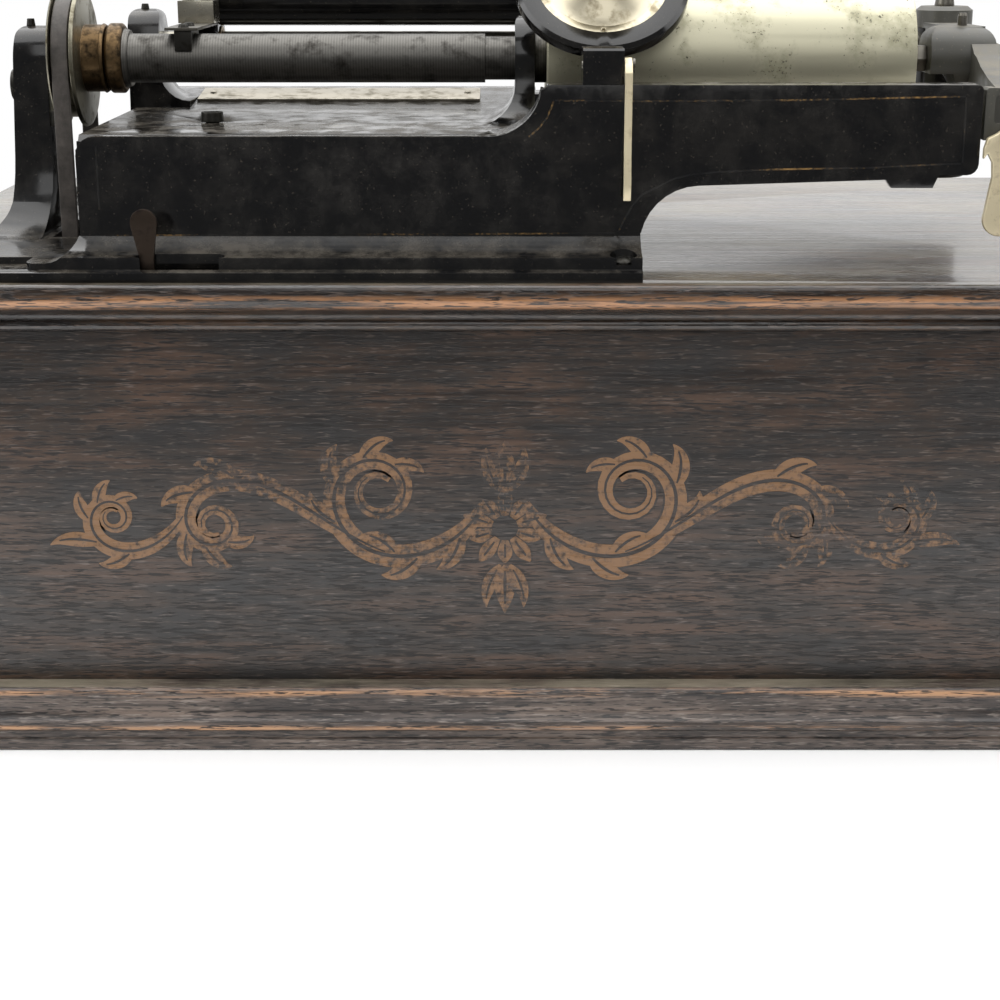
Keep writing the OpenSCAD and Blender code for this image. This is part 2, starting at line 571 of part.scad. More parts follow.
module gate_locknut() color(steel) difference() {
    plate_yz(99.9, 102.9) circle_at(axis_y, axis_z, 4.2, 6);
    bar(99, 104, axis_y, axis_z, gate_bore);
}
module gate_set_screw() color(steel) {
    screw_head(gate_screw_x, axis_y, 199, 1.4, 0.9);
    post(gate_screw_x, axis_y, axis_z + gate_bore, 199.1, 1.4);
}
latch_y = [-103.6, -101.4];
latch_lobe = [112.9, 148.3];
module gate_latch() color(nickel) difference() {
    plate_xz(latch_y[0], latch_y[1]) polygon(concat([[110.6, 171], [108.2, 169.8], [107.4, 167],
        [107.4, 164.2], [108.5, 165.8], [109.8, 163.4], [110.1, 159.4], [109.5, 156]],
        arc(latch_lobe[0], latch_lobe[1], 4.6, 160, 380, 14),
        [[116.3, 156], [115.8, 160], [117, 165]], arc(latch_pivot[0], latch_pivot[1], 3.6, -30, 140, 10)));
    plate_xz(-110, -90) translate(latch_pivot) circle(r = 1.55);
}
module latch_screw() color(steel) {
    plate_xz(latch_y[0] - 1.3, latch_y[0] - 0.06) translate(latch_pivot) circle(r = 2.8);
    plate_xz(latch_y[0] - 0.1, -96.2) translate(latch_pivot) circle(r = 1.5);
}

// Start lever: a flat strip under the foot, with a spoon that stands up through the slot
spoon_x = -115.5;
spoon_y = -109.6;
module start_lever() color(steel) difference() {
    union() {
        translate([0, 0, case_h + 0.6]) linear_extrude(1.4) polygon([[start_x - 4, start_y + 3],
            [spoon_x - 1.9, spoon_y - 0.9], [spoon_x + 1.9, spoon_y - 0.9], [start_x + 4, start_y + 3]]);
        post(start_x, start_y, case_h + 0.6, case_h + 2, 5);
        plate_xz(spoon_y - 0.9, spoon_y + 0.5) polygon(concat([[spoon_x - 1.9, case_h + 0.6],
            [spoon_x - 1.9, 139]], arc(spoon_x - 0.4, 148.4, 3.6, 200, -20, 12),
            [[spoon_x + 1.9, 139], [spoon_x + 1.9, case_h + 0.6]]));
    }
    post(start_x, start_y, case_h - 1, case_h + 4, 2.05);
}
module start_lever_pivot() color(steel) {
    post(start_x, start_y, case_h + 0.6, case_h + 11, 2);
    post(start_x, start_y, case_h + 2.1, case_h + 6, 3.6);
    box(start_x - 6, start_x + 6, box_front + wall - 0.02, start_y + 3, case_h + 6, case_h + 9);
}
module speed_screw() color(steel) {
    difference() {
        post(-104, -60, plateau_z + 0.3, plateau_z + 3, 3.3, 3.1);
        box(-108, -100, -60.4, -59.6, plateau_z + 2, plateau_z + 4);
    }
    post(-104, -60, plateau_z - 20, plateau_z + 0.4, 1.96);
}

// Motor
plate_x = [[-130, -126], [-24, -20]];
b_axis = [axis_y, motor_z];
train_r = (barrel_teeth + pinion_teeth) / 2;
pulley_link = (train_teeth + pinion_teeth) / 2;
b_span = norm([barrel_y, barrel_z] - b_axis);
b_dir = atan2(barrel_z - motor_z, barrel_y - axis_y);
a_turn = acos((pow(pulley_link, 2) + pow(b_span, 2) - pow(train_r, 2)) / (2 * pulley_link * b_span));
a_axis = b_axis + pulley_link * [cos(b_dir + a_turn), sin(b_dir + a_turn)];
governor_link = (governor_wheel_teeth + pinion_teeth) / 2;
governor_dir = 226;
g_axis = b_axis + governor_link * [cos(governor_dir), sin(governor_dir)];
// Gear of module 1 with short thin teeth; one tooth points along the given angle
module gear(teeth, x0, x1, centre, angle, bore) plate_yz(x0, x1) translate(centre) difference() {
    pitch = 360 / teeth;
    polygon([for (i = [0:teeth - 1]) for (q = [[-0.25, -1], [-0.09, 0.6], [0.09, 0.6], [0.25, -1]])
        let (a = angle + (i + q[0]) * pitch) (teeth / 2 + q[1]) * [cos(a), sin(a)]]);
    circle(r = bore);
}
function turn_to(p, q) = atan2(q[1] - p[1], q[0] - p[0]);
function gap_to(p, q, teeth) = turn_to(p, q) + 180 / teeth;
plate_top = plateau_z - 7;
module plate_outline() polygon([[-92, 10], [84, 10], [84, 112], [20, 114], [20, plateau_z - 24],
    [14, plate_top], [-84, plate_top], [-90, plateau_z - 24], [-90, 112], [-92, 100]]);
pillar_at = [[-86.5, 15], [74, 18], [78, 104], [-82, 102]];
module motor_plates() color(black) for (x = plate_x) difference() {
    plate_yz(x[0], x[1]) difference() {
        plate_outline();
        for (p = [[b_axis, 2.55], [a_axis, 2.05], [[barrel_y, barrel_z], 5.05], [g_axis, 1.55]])
            translate(p[0]) circle(r = p[1]);
        for (p = pillar_at) translate(p) circle(r = 2);
        translate([-20, 24]) circle(r = 12);
        translate([-62, 124]) circle(r = 14);
    }
    if (x[0] > -100) {
        bar(x[0] - 1, x[1] + 1, crank_y, crank_z, 4.05);
        bar(x[0] - 1, x[1] + 1, pawl_axis[0], pawl_axis[1], pawl_bore - 0.04);
    }
}
module motor_pillars() color(steel) for (p = pillar_at) {
    bar(plate_x[0][1], plate_x[1][0], p[0], p[1], 4);
    bar(plate_x[0][0] - 3, plate_x[1][1] + 3, p[0], p[1], 1.98);
    for (x = [plate_x[0][0] - 3, plate_x[1][1] + 0.1]) plate_yz(x, x + 2.9) circle_at(p[0], p[1], 4.4, 6);
}
barrel_x = [-112, -54];
module spring_barrel() color(steel) {
    difference() {
        bar(barrel_x[0] + 2, barrel_x[1], barrel_y, barrel_z, barrel_r);
        bar(barrel_x[0] + 1, barrel_x[1] - 3, barrel_y, barrel_z, barrel_r - 2.5);
        bar(barrel_x[0], barrel_x[1] + 1, barrel_y, barrel_z, 5.05);
    }
    gear(barrel_teeth, barrel_x[1] - eps, barrel_x[1] + 6, [barrel_y, barrel_z],
        turn_to([barrel_y, barrel_z], a_axis), 12);
}
module barrel_cover() color(brass) difference() {
    union() {
        bar(barrel_x[0], barrel_x[0] + 2, barrel_y, barrel_z, barrel_r);
        bar(barrel_x[0] + 2 - eps, barrel_x[0] + 4, barrel_y, barrel_z, barrel_r - 2.55);
    }
    bar(barrel_x[0] - 1, barrel_x[0] + 5, barrel_y, barrel_z, 5.05);
}
module mainspring() color(steel) difference() {
    bar(barrel_x[0] + 6, barrel_x[1] - 5, barrel_y, barrel_z, barrel_r - 2.6);
    bar(barrel_x[0] + 5, barrel_x[1] - 4, barrel_y, barrel_z, 20);
}
ratchet_x = [-18.6, -15.6];
winding_x = [-15, -9];
ratchet_teeth = 12;
ratchet_r = 12;
pawl_axis = [barrel_y - 14, barrel_z + 13];
pawl_lift = 12.5;
pawl_bore = 1.6;
module winding_arbor() color(steel) {
    bar(plate_x[0][0] - 1, winding_x[1] + 1, barrel_y, barrel_z, 5);
    gear(winding_teeth, winding_x[0], winding_x[1], [barrel_y, barrel_z],
        gap_to([barrel_y, barrel_z], [crank_y, crank_z], winding_teeth), 4.9);
    plate_yz(ratchet_x[0], ratchet_x[1]) translate([barrel_y, barrel_z])
        polygon([for (i = [0:ratchet_teeth - 1]) for (q = [[0, ratchet_r], [0.12, ratchet_r - 3]])
            let (a = 90 + (i + q[0]) * 360 / ratchet_teeth) q[1] * [cos(a), sin(a)]]);
}
// Drawn lifted clear of the teeth, as while winding; turned back by pawl_lift it drops behind a tooth
module pawl() color(steel) plate_yz(ratchet_x[0], ratchet_x[1]) translate(pawl_axis) difference() {
    rotate(pawl_lift) polygon(concat(arc(0, 0, 4, 40, 285, 16),
        [[8.2, -2.15], [13.15, -3.4], [13.5, -1.4], [9, 0.8]]));
    circle(r = pawl_bore);
}
module pawl_pin() color(steel) {
    bar(plate_x[1][0], ratchet_x[1] + 0.2, pawl_axis[0], pawl_axis[1], pawl_bore - 0.05);
    bar(plate_x[1][1], ratchet_x[0] - 0.2, pawl_axis[0], pawl_axis[1], 2.8);
}
module winding_shaft() color(steel) {
    bar(-27, arm_x[1] + 2.4, crank_y, crank_z, 4);
    gear(crank_teeth, winding_x[0] - 0.4, winding_x[1] + 1.4, [crank_y, crank_z],
        turn_to([crank_y, crank_z], [barrel_y, barrel_z]), 3.9);
}
module crank_escutcheon() color(nickel) difference() {
    union() {
        bar(panel_w / 2 - board_t, panel_w / 2 + 0.1, crank_y, crank_z, 6.98);
        bar(panel_w / 2, panel_w / 2 + 2, crank_y, crank_z, 13, 12);
        for (a = [0, 120, 240])
            bar(panel_w / 2 + 2 - eps, panel_w / 2 + 2.6, crank_y + 9.6 * sin(a),
                crank_z + 9.6 * cos(a), 1.7, 1.1);
    }
    bar(panel_w / 2 - board_t - 1, panel_w / 2 + 4, crank_y, crank_z, 4.06);
}
arm_x = [204.8, 211.8];
module crank_arm() color(nickel) difference() {
    union() {
        bar(arm_x[0], arm_x[1] + 2, crank_y, crank_z, 9);
        plate_yz(arm_x[0], arm_x[1]) polygon([[crank_y - 7, crank_z], [crank_y - 4.6, crank_z - crank_len],
            [crank_y + 4.6, crank_z - crank_len], [crank_y + 7, crank_z]]);
        bar(arm_x[0], arm_x[1], crank_y, crank_z - crank_len, 6.6);
    }
    bar(arm_x[0] - 1, arm_x[1] + 5, crank_y, crank_z, 4);
    bar(arm_x[0] - 1, arm_x[1] + 5, crank_y, crank_z - crank_len, 3);
}
module crank_pin() color(steel) {
    bar(arm_x[0] - 0.6, arm_x[1] + handle_len + 2, crank_y, crank_z - crank_len, 2.99);
    bar(arm_x[1] + handle_len + 1, arm_x[1] + handle_len + 3.4, crank_y, crank_z - crank_len, 4.6, 3.4);
}
// Turned wooden handle, free on its pin
module crank_handle() color("#2a211c") translate([arm_x[1] + 0.4, crank_y, crank_z - crank_len])
    rotate([0, 90, 0]) rotate_extrude() polygon(concat([[3.08, 0], [5.4, 0], [6.2, 1.2], [5.6, 3]],
        [for (i = [0:10]) [5.6 + 5.6 * sin(i * 15), 3 + (handle_len - 4) * i / 10]],
        [[6.6, handle_len], [3.08, handle_len]]));
module train_arbor() color(steel) {
    bar(plate_x[0][0] - 0.6, plate_x[1][1] + 0.4, a_axis[0], a_axis[1], 2);
    bar(-60, -34, a_axis[0], a_axis[1], 3.4);
    gear(pinion_teeth, -56, -46, a_axis, gap_to(a_axis, [barrel_y, barrel_z], pinion_teeth), 1.9);
    gear(train_teeth, -40, -36, a_axis, turn_to(a_axis, b_axis), 1.9);
}
module pulley_arbor() color(steel) {
    bar(-152, plate_x[1][1] + 0.4, b_axis[0], b_axis[1], 2.5);
    bar(-123, -116, b_axis[0], b_axis[1], 5);
    gear(pinion_teeth, -42, -34, b_axis, gap_to(b_axis, a_axis, pinion_teeth), 2.4);
    gear(governor_wheel_teeth, -33, -28, b_axis, turn_to(b_axis, g_axis), 2.4);
    belt_pulley(motor_z, 2.4);
    bar(-142.6, -134, b_axis[0], b_axis[1], 6);
}
module governor_shaft() color(steel) {
    bar(plate_x[0][0] - 0.4, plate_x[1][1] + 0.2, g_axis[0], g_axis[1], 1.5);
    bar(-122, -40, g_axis[0], g_axis[1], 2.4);
    gear(pinion_teeth, -34, -27.2, g_axis, gap_to(g_axis, b_axis, pinion_teeth), 1.4);
}
module governor_weights() color(brass) {
    for (x = [-104, -70]) difference() {
        bar(x, x + 6, g_axis[0], g_axis[1], 6);
        bar(x - 1, x + 7, g_axis[0], g_axis[1], 2.4);
    }
    for (a = [30, 150, 270]) {
        c = g_axis + 13 * [cos(a), sin(a)];
        bar(-90, -80, c[0], c[1], 4.6);
        translate([0, g_axis[0], g_axis[1]]) rotate([a, 0, 0]) plate_xz(-2, 2)
            polygon([[-104, 5], [-98, 5], [-91, 9.8], [-90, 12], [-80, 12], [-79, 9.8], [-70, 5], [-64, 5],
                [-64, 5.9], [-69.6, 5.9], [-78.6, 10.7], [-79.4, 13], [-90.6, 13], [-91.4, 10.7],
                [-98.4, 5.9], [-104, 5.9]]);
    }
}
module friction_disc() color(brass) difference() {
    union() {
        bar(-58, -55.6, g_axis[0], g_axis[1], 17);
        bar(-62, -58 + eps, g_axis[0], g_axis[1], 6);
    }
    bar(-63, -55, g_axis[0], g_axis[1], 2.4);
}

top_board();
case_front();
case_back();
case_left();
case_right();
base_moulding();
bottom_board();
glue_blocks();
bedplate();
bed_bolts();
post_set_screws();
left_centre_screw();
data_plate();
back_rod();
drive_belt();
feed_screw_shaft();
mandrel();
mandrel_pulley();
thrust_collar();
rod_bushes();
carriage_arm();
feed_nut_spring();
spring_clamp();
clamp_screws();
feed_nut();
reproducer_body();
reproducer_diaphragm();
reproducer_weight();
stylus_bar();
lift_lever();
lift_lever_pin();
gate_arm();
gate_hinge_screw();
gate_centre_screw();
gate_locknut();
gate_set_screw();
gate_latch();
latch_screw();
start_lever();
start_lever_pivot();
speed_screw();
motor_plates();
motor_pillars();
spring_barrel();
barrel_cover();
mainspring();
winding_arbor();
pawl();
pawl_pin();
winding_shaft();
crank_escutcheon();
crank_arm();
crank_handle();
crank_pin();
train_arbor();
pulley_arbor();
governor_shaft();
governor_weights();
friction_disc();
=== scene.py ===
"""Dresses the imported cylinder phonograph: eased castings, plated turnings, fumed oak and old gilding."""
from __future__ import annotations

import json
import logging
import math
import sys
from dataclasses import dataclass, replace
from enum import Enum
from typing import Optional, Sequence

import bmesh
import bpy
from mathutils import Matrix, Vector

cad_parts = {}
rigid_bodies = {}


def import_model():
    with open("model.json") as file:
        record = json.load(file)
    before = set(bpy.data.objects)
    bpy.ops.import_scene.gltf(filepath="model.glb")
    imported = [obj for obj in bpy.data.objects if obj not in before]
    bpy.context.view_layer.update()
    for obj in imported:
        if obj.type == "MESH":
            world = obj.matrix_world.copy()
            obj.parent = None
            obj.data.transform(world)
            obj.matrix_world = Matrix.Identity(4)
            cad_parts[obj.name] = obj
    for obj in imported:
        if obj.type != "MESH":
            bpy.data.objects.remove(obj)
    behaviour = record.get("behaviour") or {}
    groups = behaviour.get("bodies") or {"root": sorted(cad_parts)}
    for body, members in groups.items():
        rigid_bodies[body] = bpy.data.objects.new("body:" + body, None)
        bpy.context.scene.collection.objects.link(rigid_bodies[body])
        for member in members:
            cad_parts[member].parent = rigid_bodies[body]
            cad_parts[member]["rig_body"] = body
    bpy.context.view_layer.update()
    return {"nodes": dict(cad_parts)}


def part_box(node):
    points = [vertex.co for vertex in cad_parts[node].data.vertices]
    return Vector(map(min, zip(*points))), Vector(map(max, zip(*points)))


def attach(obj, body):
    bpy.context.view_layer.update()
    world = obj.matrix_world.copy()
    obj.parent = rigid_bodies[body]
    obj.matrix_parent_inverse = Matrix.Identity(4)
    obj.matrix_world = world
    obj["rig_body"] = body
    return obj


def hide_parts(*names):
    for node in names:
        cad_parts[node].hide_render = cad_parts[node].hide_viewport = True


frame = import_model()
SCENE = bpy.context.scene
LOG = logging.getLogger("phonograph")
MM = 0.001  # metres in a millimetre
WELD_MM = 0.002  # CAD corners nearer than this are one corner
FLAT_DEG = 1.0  # CAD faces that meet at less than this are one face
CRISP_DEG = 32.0  # faces that meet at more than this have an edge to ease
ROUND_DEG = 40.0  # faces that meet at less than this are shaded as one curve
FORWARD = Vector((0.0, -1.0, 0.0))  # the way the case's front looks
Tree = bpy.types.NodeTree
Socket = bpy.types.NodeSocket
Shape = bmesh.types.BMesh
RGBA = {"output": 2, "data_type": "RGBA"}  # for a Mix node that mixes colours


def linear(code: str) -> tuple[float, float, float, float]:
    """Turn an sRGB hex colour into linear light.

    Args:
        code: six hex digits after a hash.

    Returns:
        Red, green and blue, linear, and a full alpha.
    """
    parts = [int(code[i:i + 2], 16) / 255.0 for i in (1, 3, 5)]
    lin = [p / 12.92 if p <= 0.04045 else ((p + 0.055) / 1.055) ** 2.4 for p in parts]
    return lin[0], lin[1], lin[2], 1.0


def put(tree: Tree, kind: str, inputs: Optional[dict] = None, output: int | str = 0,
        stops: Sequence[tuple[float, str]] = (), **props: object) -> Optional[Socket]:
    """Add one node, with its settings and its links.

    Args:
        tree: the node tree.
        kind: the node's type name, without its common beginning.
        inputs: input name or index to its value, its hex colour, or the output that feeds it.
        output: name or index of the output to hand back.
        stops: positions and hex colours of a colour ramp.
        props: the node's own properties.

    Returns:
        The output, or None from a node that has none.
    """
    node = tree.nodes.new("ShaderNode" + kind)
    for key, value in props.items():
        setattr(node, key, value)
    for key, value in (inputs or {}).items():
        if isinstance(value, Socket):
            tree.links.new(value, node.inputs[key])
        else:
            node.inputs[key].default_value = linear(value) if isinstance(value, str) else value
    if stops:
        elements = node.color_ramp.elements
        while len(elements) < len(stops):
            elements.new(0.5)
        for element, (place, code) in zip(elements, stops):
            element.position = place
            element.color = linear(code)
    return node.outputs[output] if node.outputs else None


def per_mm(size_mm: float) -> float:
    """Texture scale whose features are about this many millimetres across."""
    return 1000.0 / size_mm


@dataclass(frozen=True)
class Paint:
    """Bronze powder or colour bound in varnish, brushed on thin and rubbed through in patches."""
    colour: str  # the paint
    left: float = 0.6  # how much of it is left, 0 to 1
    patch_mm: float = 2.0  # size of the rubbed patches
    fade_mm: float = 40.0  # size of the areas where it has faded more

    def over(self, tree: Tree, place: Socket, ground: Socket) -> Socket:
        """Lay the paint over its ground.

        Args:
            tree: the node tree.
            place: object coordinates.
            ground: the colour under it.

        Returns:
            The colour where the worn places show the ground.
        """
        rub = put(tree, "TexNoise",
                  {"Vector": place, "Scale": per_mm(self.patch_mm), "Detail": 7.0, "Roughness": 0.7})
        fade = put(tree, "TexNoise", {"Vector": place, "Scale": per_mm(self.fade_mm), "Detail": 1.0})
        worn = put(tree, "Math", {0: fade, 1: 0.8, 2: rub}, operation="MULTIPLY_ADD")
        # the sum of both noises runs from about 0.6 to 1.2, so these limits move the paint's edge
        gone, whole = 1.08 - 0.46 * self.left, 1.24 - 0.40 * self.left
        keep = put(tree, "MapRange", {"Value": worn, "From Min": gone, "From Max": whole})
        return put(tree, "Mix", {0: keep, 6: ground, 7: self.colour}, **RGBA)


@dataclass(frozen=True)
class Finish:
    """A surface finish; a subclass adds its own network."""
    name: str  # the material's name, after what it is and how it was made
    rough: float = 0.4  # roughness of the clean surface

    def build(self) -> bpy.types.Material:
        """Make the material.

        Returns:
            The new material, with its network.
        """
        material = bpy.data.materials.new(self.name)
        material.use_nodes = True
        tree = material.node_tree
        tree.nodes.clear()
        place = put(tree, "TexCoord", output="Object")
        surface = put(tree, "BsdfPrincipled", self.network(tree, place))
        put(tree, "OutputMaterial", {"Surface": surface})
        return material

    def network(self, tree: Tree, place: Socket) -> dict[str, object]:
        """What feeds the shader; the plain finish has an even roughness and no more."""
        return {"Roughness": self.rough}


@dataclass(frozen=True)
class FumedOak(Finish):
    """Quartered oak, fumed almost black and varnished: open pores, growth streaks and rubbed edges."""
    dark: str = "#242120"  # colour of the deepest bands
    mid: str = "#34281f"  # colour of most of the board
    light: str = "#4f3a2c"  # colour of the palest bands
    painted_glint: str = "#6a5e57"  # colour of the painted glints: pale dashes of light on the varnish between the pores
    pore: str = "#14100e"  # colour in the pores
    worn: str = "#a8744a"  # colour where hands have rubbed down to the wood
    grain_axis: int = 0  # 0 where the grain runs along X, 1 along Y, 2 along Z
    # the lower and upper height of each rubbed band, in metres
    worn_bands: tuple[tuple[float, float], ...] = ()
    wear: float = 0.5  # how much of the bands is bare, 0 to 1
    coat: float = 0.25  # weight of the varnish
    coat_rough: float = 0.2  # roughness of the varnish
    dusty: float = 0.0  # how much of the dust that settled on a flat top is left
    dust: str = "#a89f8a"  # its colour
    paint: Optional[Paint] = None  # what is painted on the board
    # width in mm, factor along the grain, detail and roughness of the slow bands of colour
    bands: tuple[float, ...] = (11.0, 0.25, 5.0, 0.6)
    streaks: tuple[float, ...] = (1.8, 0.022, 4.0, 0.6)  # the same of the growth streaks
    # the same of the pores; real ones, 0.2 to 0.3 mm, wouldn't show, so they are drawn coarser
    pores: tuple[float, ...] = (0.55, 0.09, 2.0, 0.6)
    painted_glints: tuple[float, ...] = (0.6, 0.09, 2.0, 0.65)  # the same of the painted glints, drawn coarser too
    dust_mm: float = 38.0  # size of the clouds of dust
    tear_mm: float = 3.2  # size of the patches that tear a rubbed band

    def drawn(self, tree: Tree, place: Socket, squeeze: float) -> Socket:
        """Coordinates drawn out along the grain.

        Args:
            tree: the node tree.
            place: object coordinates.
            squeeze: factor along the grain, below one.

        Returns:
            The drawn-out coordinates.
        """
        scale = [1.0, 1.0, 1.0]
        scale[self.grain_axis] = squeeze
        return put(tree, "Mapping", {"Vector": place, "Scale": scale})

    def network(self, tree: Tree, place: Socket) -> dict[str, object]:
        """Lay streaks, painted glints and pores over slow bands of colour, and rub the edges down to bare
        wood.

        Args:
            tree: the node tree.
            place: object coordinates.

        Returns:
            The shader's inputs and what feeds them.
        """
        tone, streak, pits, glint_noise = (
            put(tree, "TexNoise", {"Vector": self.drawn(tree, place, squeeze), "Scale": per_mm(size_mm),
                                   "Detail": detail, "Roughness": rough})
            for size_mm, squeeze, detail, rough in (self.bands, self.streaks, self.pores, self.painted_glints))
        colour = put(tree, "ValToRGB", {"Fac": tone},
                     stops=((0.38, self.dark), (0.5, self.mid), (0.62, self.light)))
        shade = put(tree, "ValToRGB", {"Fac": streak}, stops=((0.36, "#6a635f"), (0.6, "#ffffff")))
        colour = put(tree, "Mix", {0: 0.85, 6: colour, 7: shade}, blend_type="MULTIPLY", **RGBA)
        # painted highlight: pale dashes where the noise peaks stand in for glints of light on the varnish
        painted_glint_mask = put(tree, "MapRange", {"Value": glint_noise, "From Min": 0.57, "From Max": 0.68, "To Max": 0.6})
        colour = put(tree, "Mix", {0: painted_glint_mask, 6: colour, 7: self.painted_glint}, **RGBA)
        for band in self.worn_bands:
            colour = self.rubbed(tree, place, streak, colour, band)
        open_pore = put(tree, "MapRange",
                        {"Value": pits, "From Min": 0.54, "From Max": 0.6, "To Max": 0.92})
        colour = put(tree, "Mix", {0: open_pore, 6: colour, 7: self.pore}, **RGBA)
        matt = open_pore
        if self.dusty:
            matt = self.settled(tree, place)
            colour = put(tree, "Mix", {0: matt, 6: colour, 7: self.dust}, **RGBA)
        if self.paint:
            colour = self.paint.over(tree, place, colour)
        rough = put(tree, "MapRange",
                    {"Value": streak, "From Min": 0.3, "From Max": 0.7, "To Min": self.rough - 0.08,
                     "To Max": self.rough + 0.14})
        varnish = put(tree, "MapRange",
                      {"Value": matt, "From Max": 0.8, "To Min": self.coat, "To Max": self.coat * 0.25})
        relief = put(tree, "Math", {0: open_pore, 1: -0.9, 2: streak}, operation="MULTIPLY_ADD")
        bump = put(tree, "Bump", {"Height": relief, "Strength": 0.5, "Distance": 0.12 * MM})
        skin = put(tree, "Bump", {"Height": relief, "Strength": 0.3, "Distance": 0.06 * MM})
        return {"Base Color": colour, "Roughness": rough, "Normal": bump, "Coat Weight": varnish,
                "Coat Roughness": self.coat_rough, "Coat Normal": skin}

    def settled(self, tree: Tree, place: Socket) -> Socket:
        """Find where dust lies: in clouds, on what faces straight up.

        Args:
            tree: the node tree.
            place: object coordinates.

        Returns:
            The share of dust, 0 to 1.
        """
        cloud = put(tree, "TexNoise",
                    {"Vector": self.drawn(tree, place, 0.6), "Scale": per_mm(self.dust_mm), "Detail": 9.0,
                     "Roughness": 0.66})
        normal = put(tree, "NewGeometry", output="Normal")
        facing = put(tree, "SeparateXYZ", {"Vector": normal}, output=2)
        upward = put(tree, "MapRange", {"Value": facing, "From Min": 0.9, "From Max": 0.99})
        film = put(tree, "MapRange",
                   {"Value": cloud, "From Min": 0.4, "From Max": 0.62, "To Max": self.dusty})
        return put(tree, "Math", {0: upward, 1: film}, operation="MULTIPLY")

    def rubbed(self, tree: Tree, place: Socket, streak: Socket,
               colour: Socket, band: tuple[float, float]) -> Socket:
        """Mix in bare wood between two heights.

        Args:
            tree: the node tree.
            place: object coordinates.
            streak: the growth streaks, which tear the band's edges.
            colour: the colour so far.
            band: the band's lower and upper height, in metres.

        Returns:
            The colour with its rubbed band.
        """
        low, high = band
        soft = (high - low) * 0.3
        height = put(tree, "SeparateXYZ", {"Vector": place}, output=2)
        up = put(tree, "MapRange", {"Value": height, "From Min": low - soft, "From Max": low + soft})
        down = put(tree, "MapRange", {"Value": height, "From Min": high + soft, "From Max": high - soft})
        patch = put(tree, "TexNoise",
                    {"Vector": self.drawn(tree, place, 0.05), "Scale": per_mm(self.tear_mm), "Detail": 7.0,
                     "Roughness": 0.72})
        mixed = put(tree, "Math", {0: streak, 1: 0.5, 2: patch}, operation="MULTIPLY_ADD")
        kept, bare = 0.90 - 0.26 * self.wear, 1.02 - 0.22 * self.wear
        torn = put(tree, "MapRange", {"Value": mixed, "From Min": kept, "From Max": bare})
        inside = put(tree, "Math", {0: up, 1: down}, operation="MULTIPLY")
        amount = put(tree, "Math", {0: inside, 1: torn}, operation="MULTIPLY")
        return put(tree, "Mix", {0: amount, 6: colour, 7: self.worn}, **RGBA)


@dataclass(frozen=True)
class Japan(Finish):
    """Black japan baked on cast iron: wet gloss on a wavy skin, dust and dried oil on what faces up."""
    colour: str = "#0a0a0b"  # the enamel
    dust: str = "#8b8274"  # colour of the dried oil and dust
    dusty: float = 0.24  # how much of the flat top it covers
    grit: float = 0.09  # strength of the waves in its skin
    speck: str = "#4a443c"  # colour of the grime in the pinholes
    paint: Optional[Paint] = None  # what is painted on the enamel
    grime_mm: float = 9.0  # size of the clouds of grime
    wave_mm: float = 7.0  # width of the waves in its skin
    speck_mm: float = 0.7  # size of the pinholes

    def network(self, tree: Tree, place: Socket) -> dict[str, object]:
        """Cloud the gloss with grime, speck it, and film the upward faces.

        Args:
            tree: the node tree.
            place: object coordinates.

        Returns:
            The shader's inputs and what feeds them.
        """
        grime = put(tree, "TexNoise",
                    {"Vector": place, "Scale": per_mm(self.grime_mm), "Detail": 8.0, "Roughness": 0.68})
        skin = put(tree, "TexNoise", {"Vector": place, "Scale": per_mm(self.wave_mm), "Detail": 1.0})
        dots = put(tree, "TexNoise", {"Vector": place, "Scale": per_mm(self.speck_mm), "Detail": 1.0})
        normal = put(tree, "NewGeometry", output="Normal")
        facing = put(tree, "SeparateXYZ", {"Vector": normal}, output=2)
        upward = put(tree, "MapRange", {"Value": facing, "From Min": 0.7, "From Max": 0.98})
        film = put(tree, "MapRange",
                   {"Value": grime, "From Min": 0.38, "From Max": 0.66, "To Max": self.dusty})
        settled = put(tree, "Math", {0: upward, 1: film}, operation="MULTIPLY")
        haze = put(tree, "MapRange", {"Value": grime, "From Min": 0.42, "From Max": 0.75, "To Max": 0.05})
        amount = put(tree, "Math", {0: settled, 1: haze}, operation="ADD")
        stain = put(tree, "MapRange", {"Value": dots, "From Min": 0.7, "From Max": 0.76, "To Max": 0.5})
        colour = put(tree, "Mix", {0: stain, 6: self.colour, 7: self.speck}, **RGBA)
        colour = put(tree, "Mix", {0: amount, 6: colour, 7: self.dust}, **RGBA)
        if self.paint:
            colour = self.paint.over(tree, place, colour)
        gloss = put(tree, "MapRange",
                    {"Value": grime, "From Min": 0.32, "From Max": 0.7, "To Min": self.rough - 0.05,
                     "To Max": self.rough + 0.16})
        dull = put(tree, "Math", {0: amount, 1: 0.6, 2: gloss}, operation="MULTIPLY_ADD")
        relief = put(tree, "Math", {0: grime, 1: 0.08, 2: skin}, operation="MULTIPLY_ADD")
        bump = put(tree, "Bump", {"Height": relief, "Strength": self.grit, "Distance": 0.12 * MM})
        return {"Base Color": colour, "Roughness": dull, "Normal": bump}


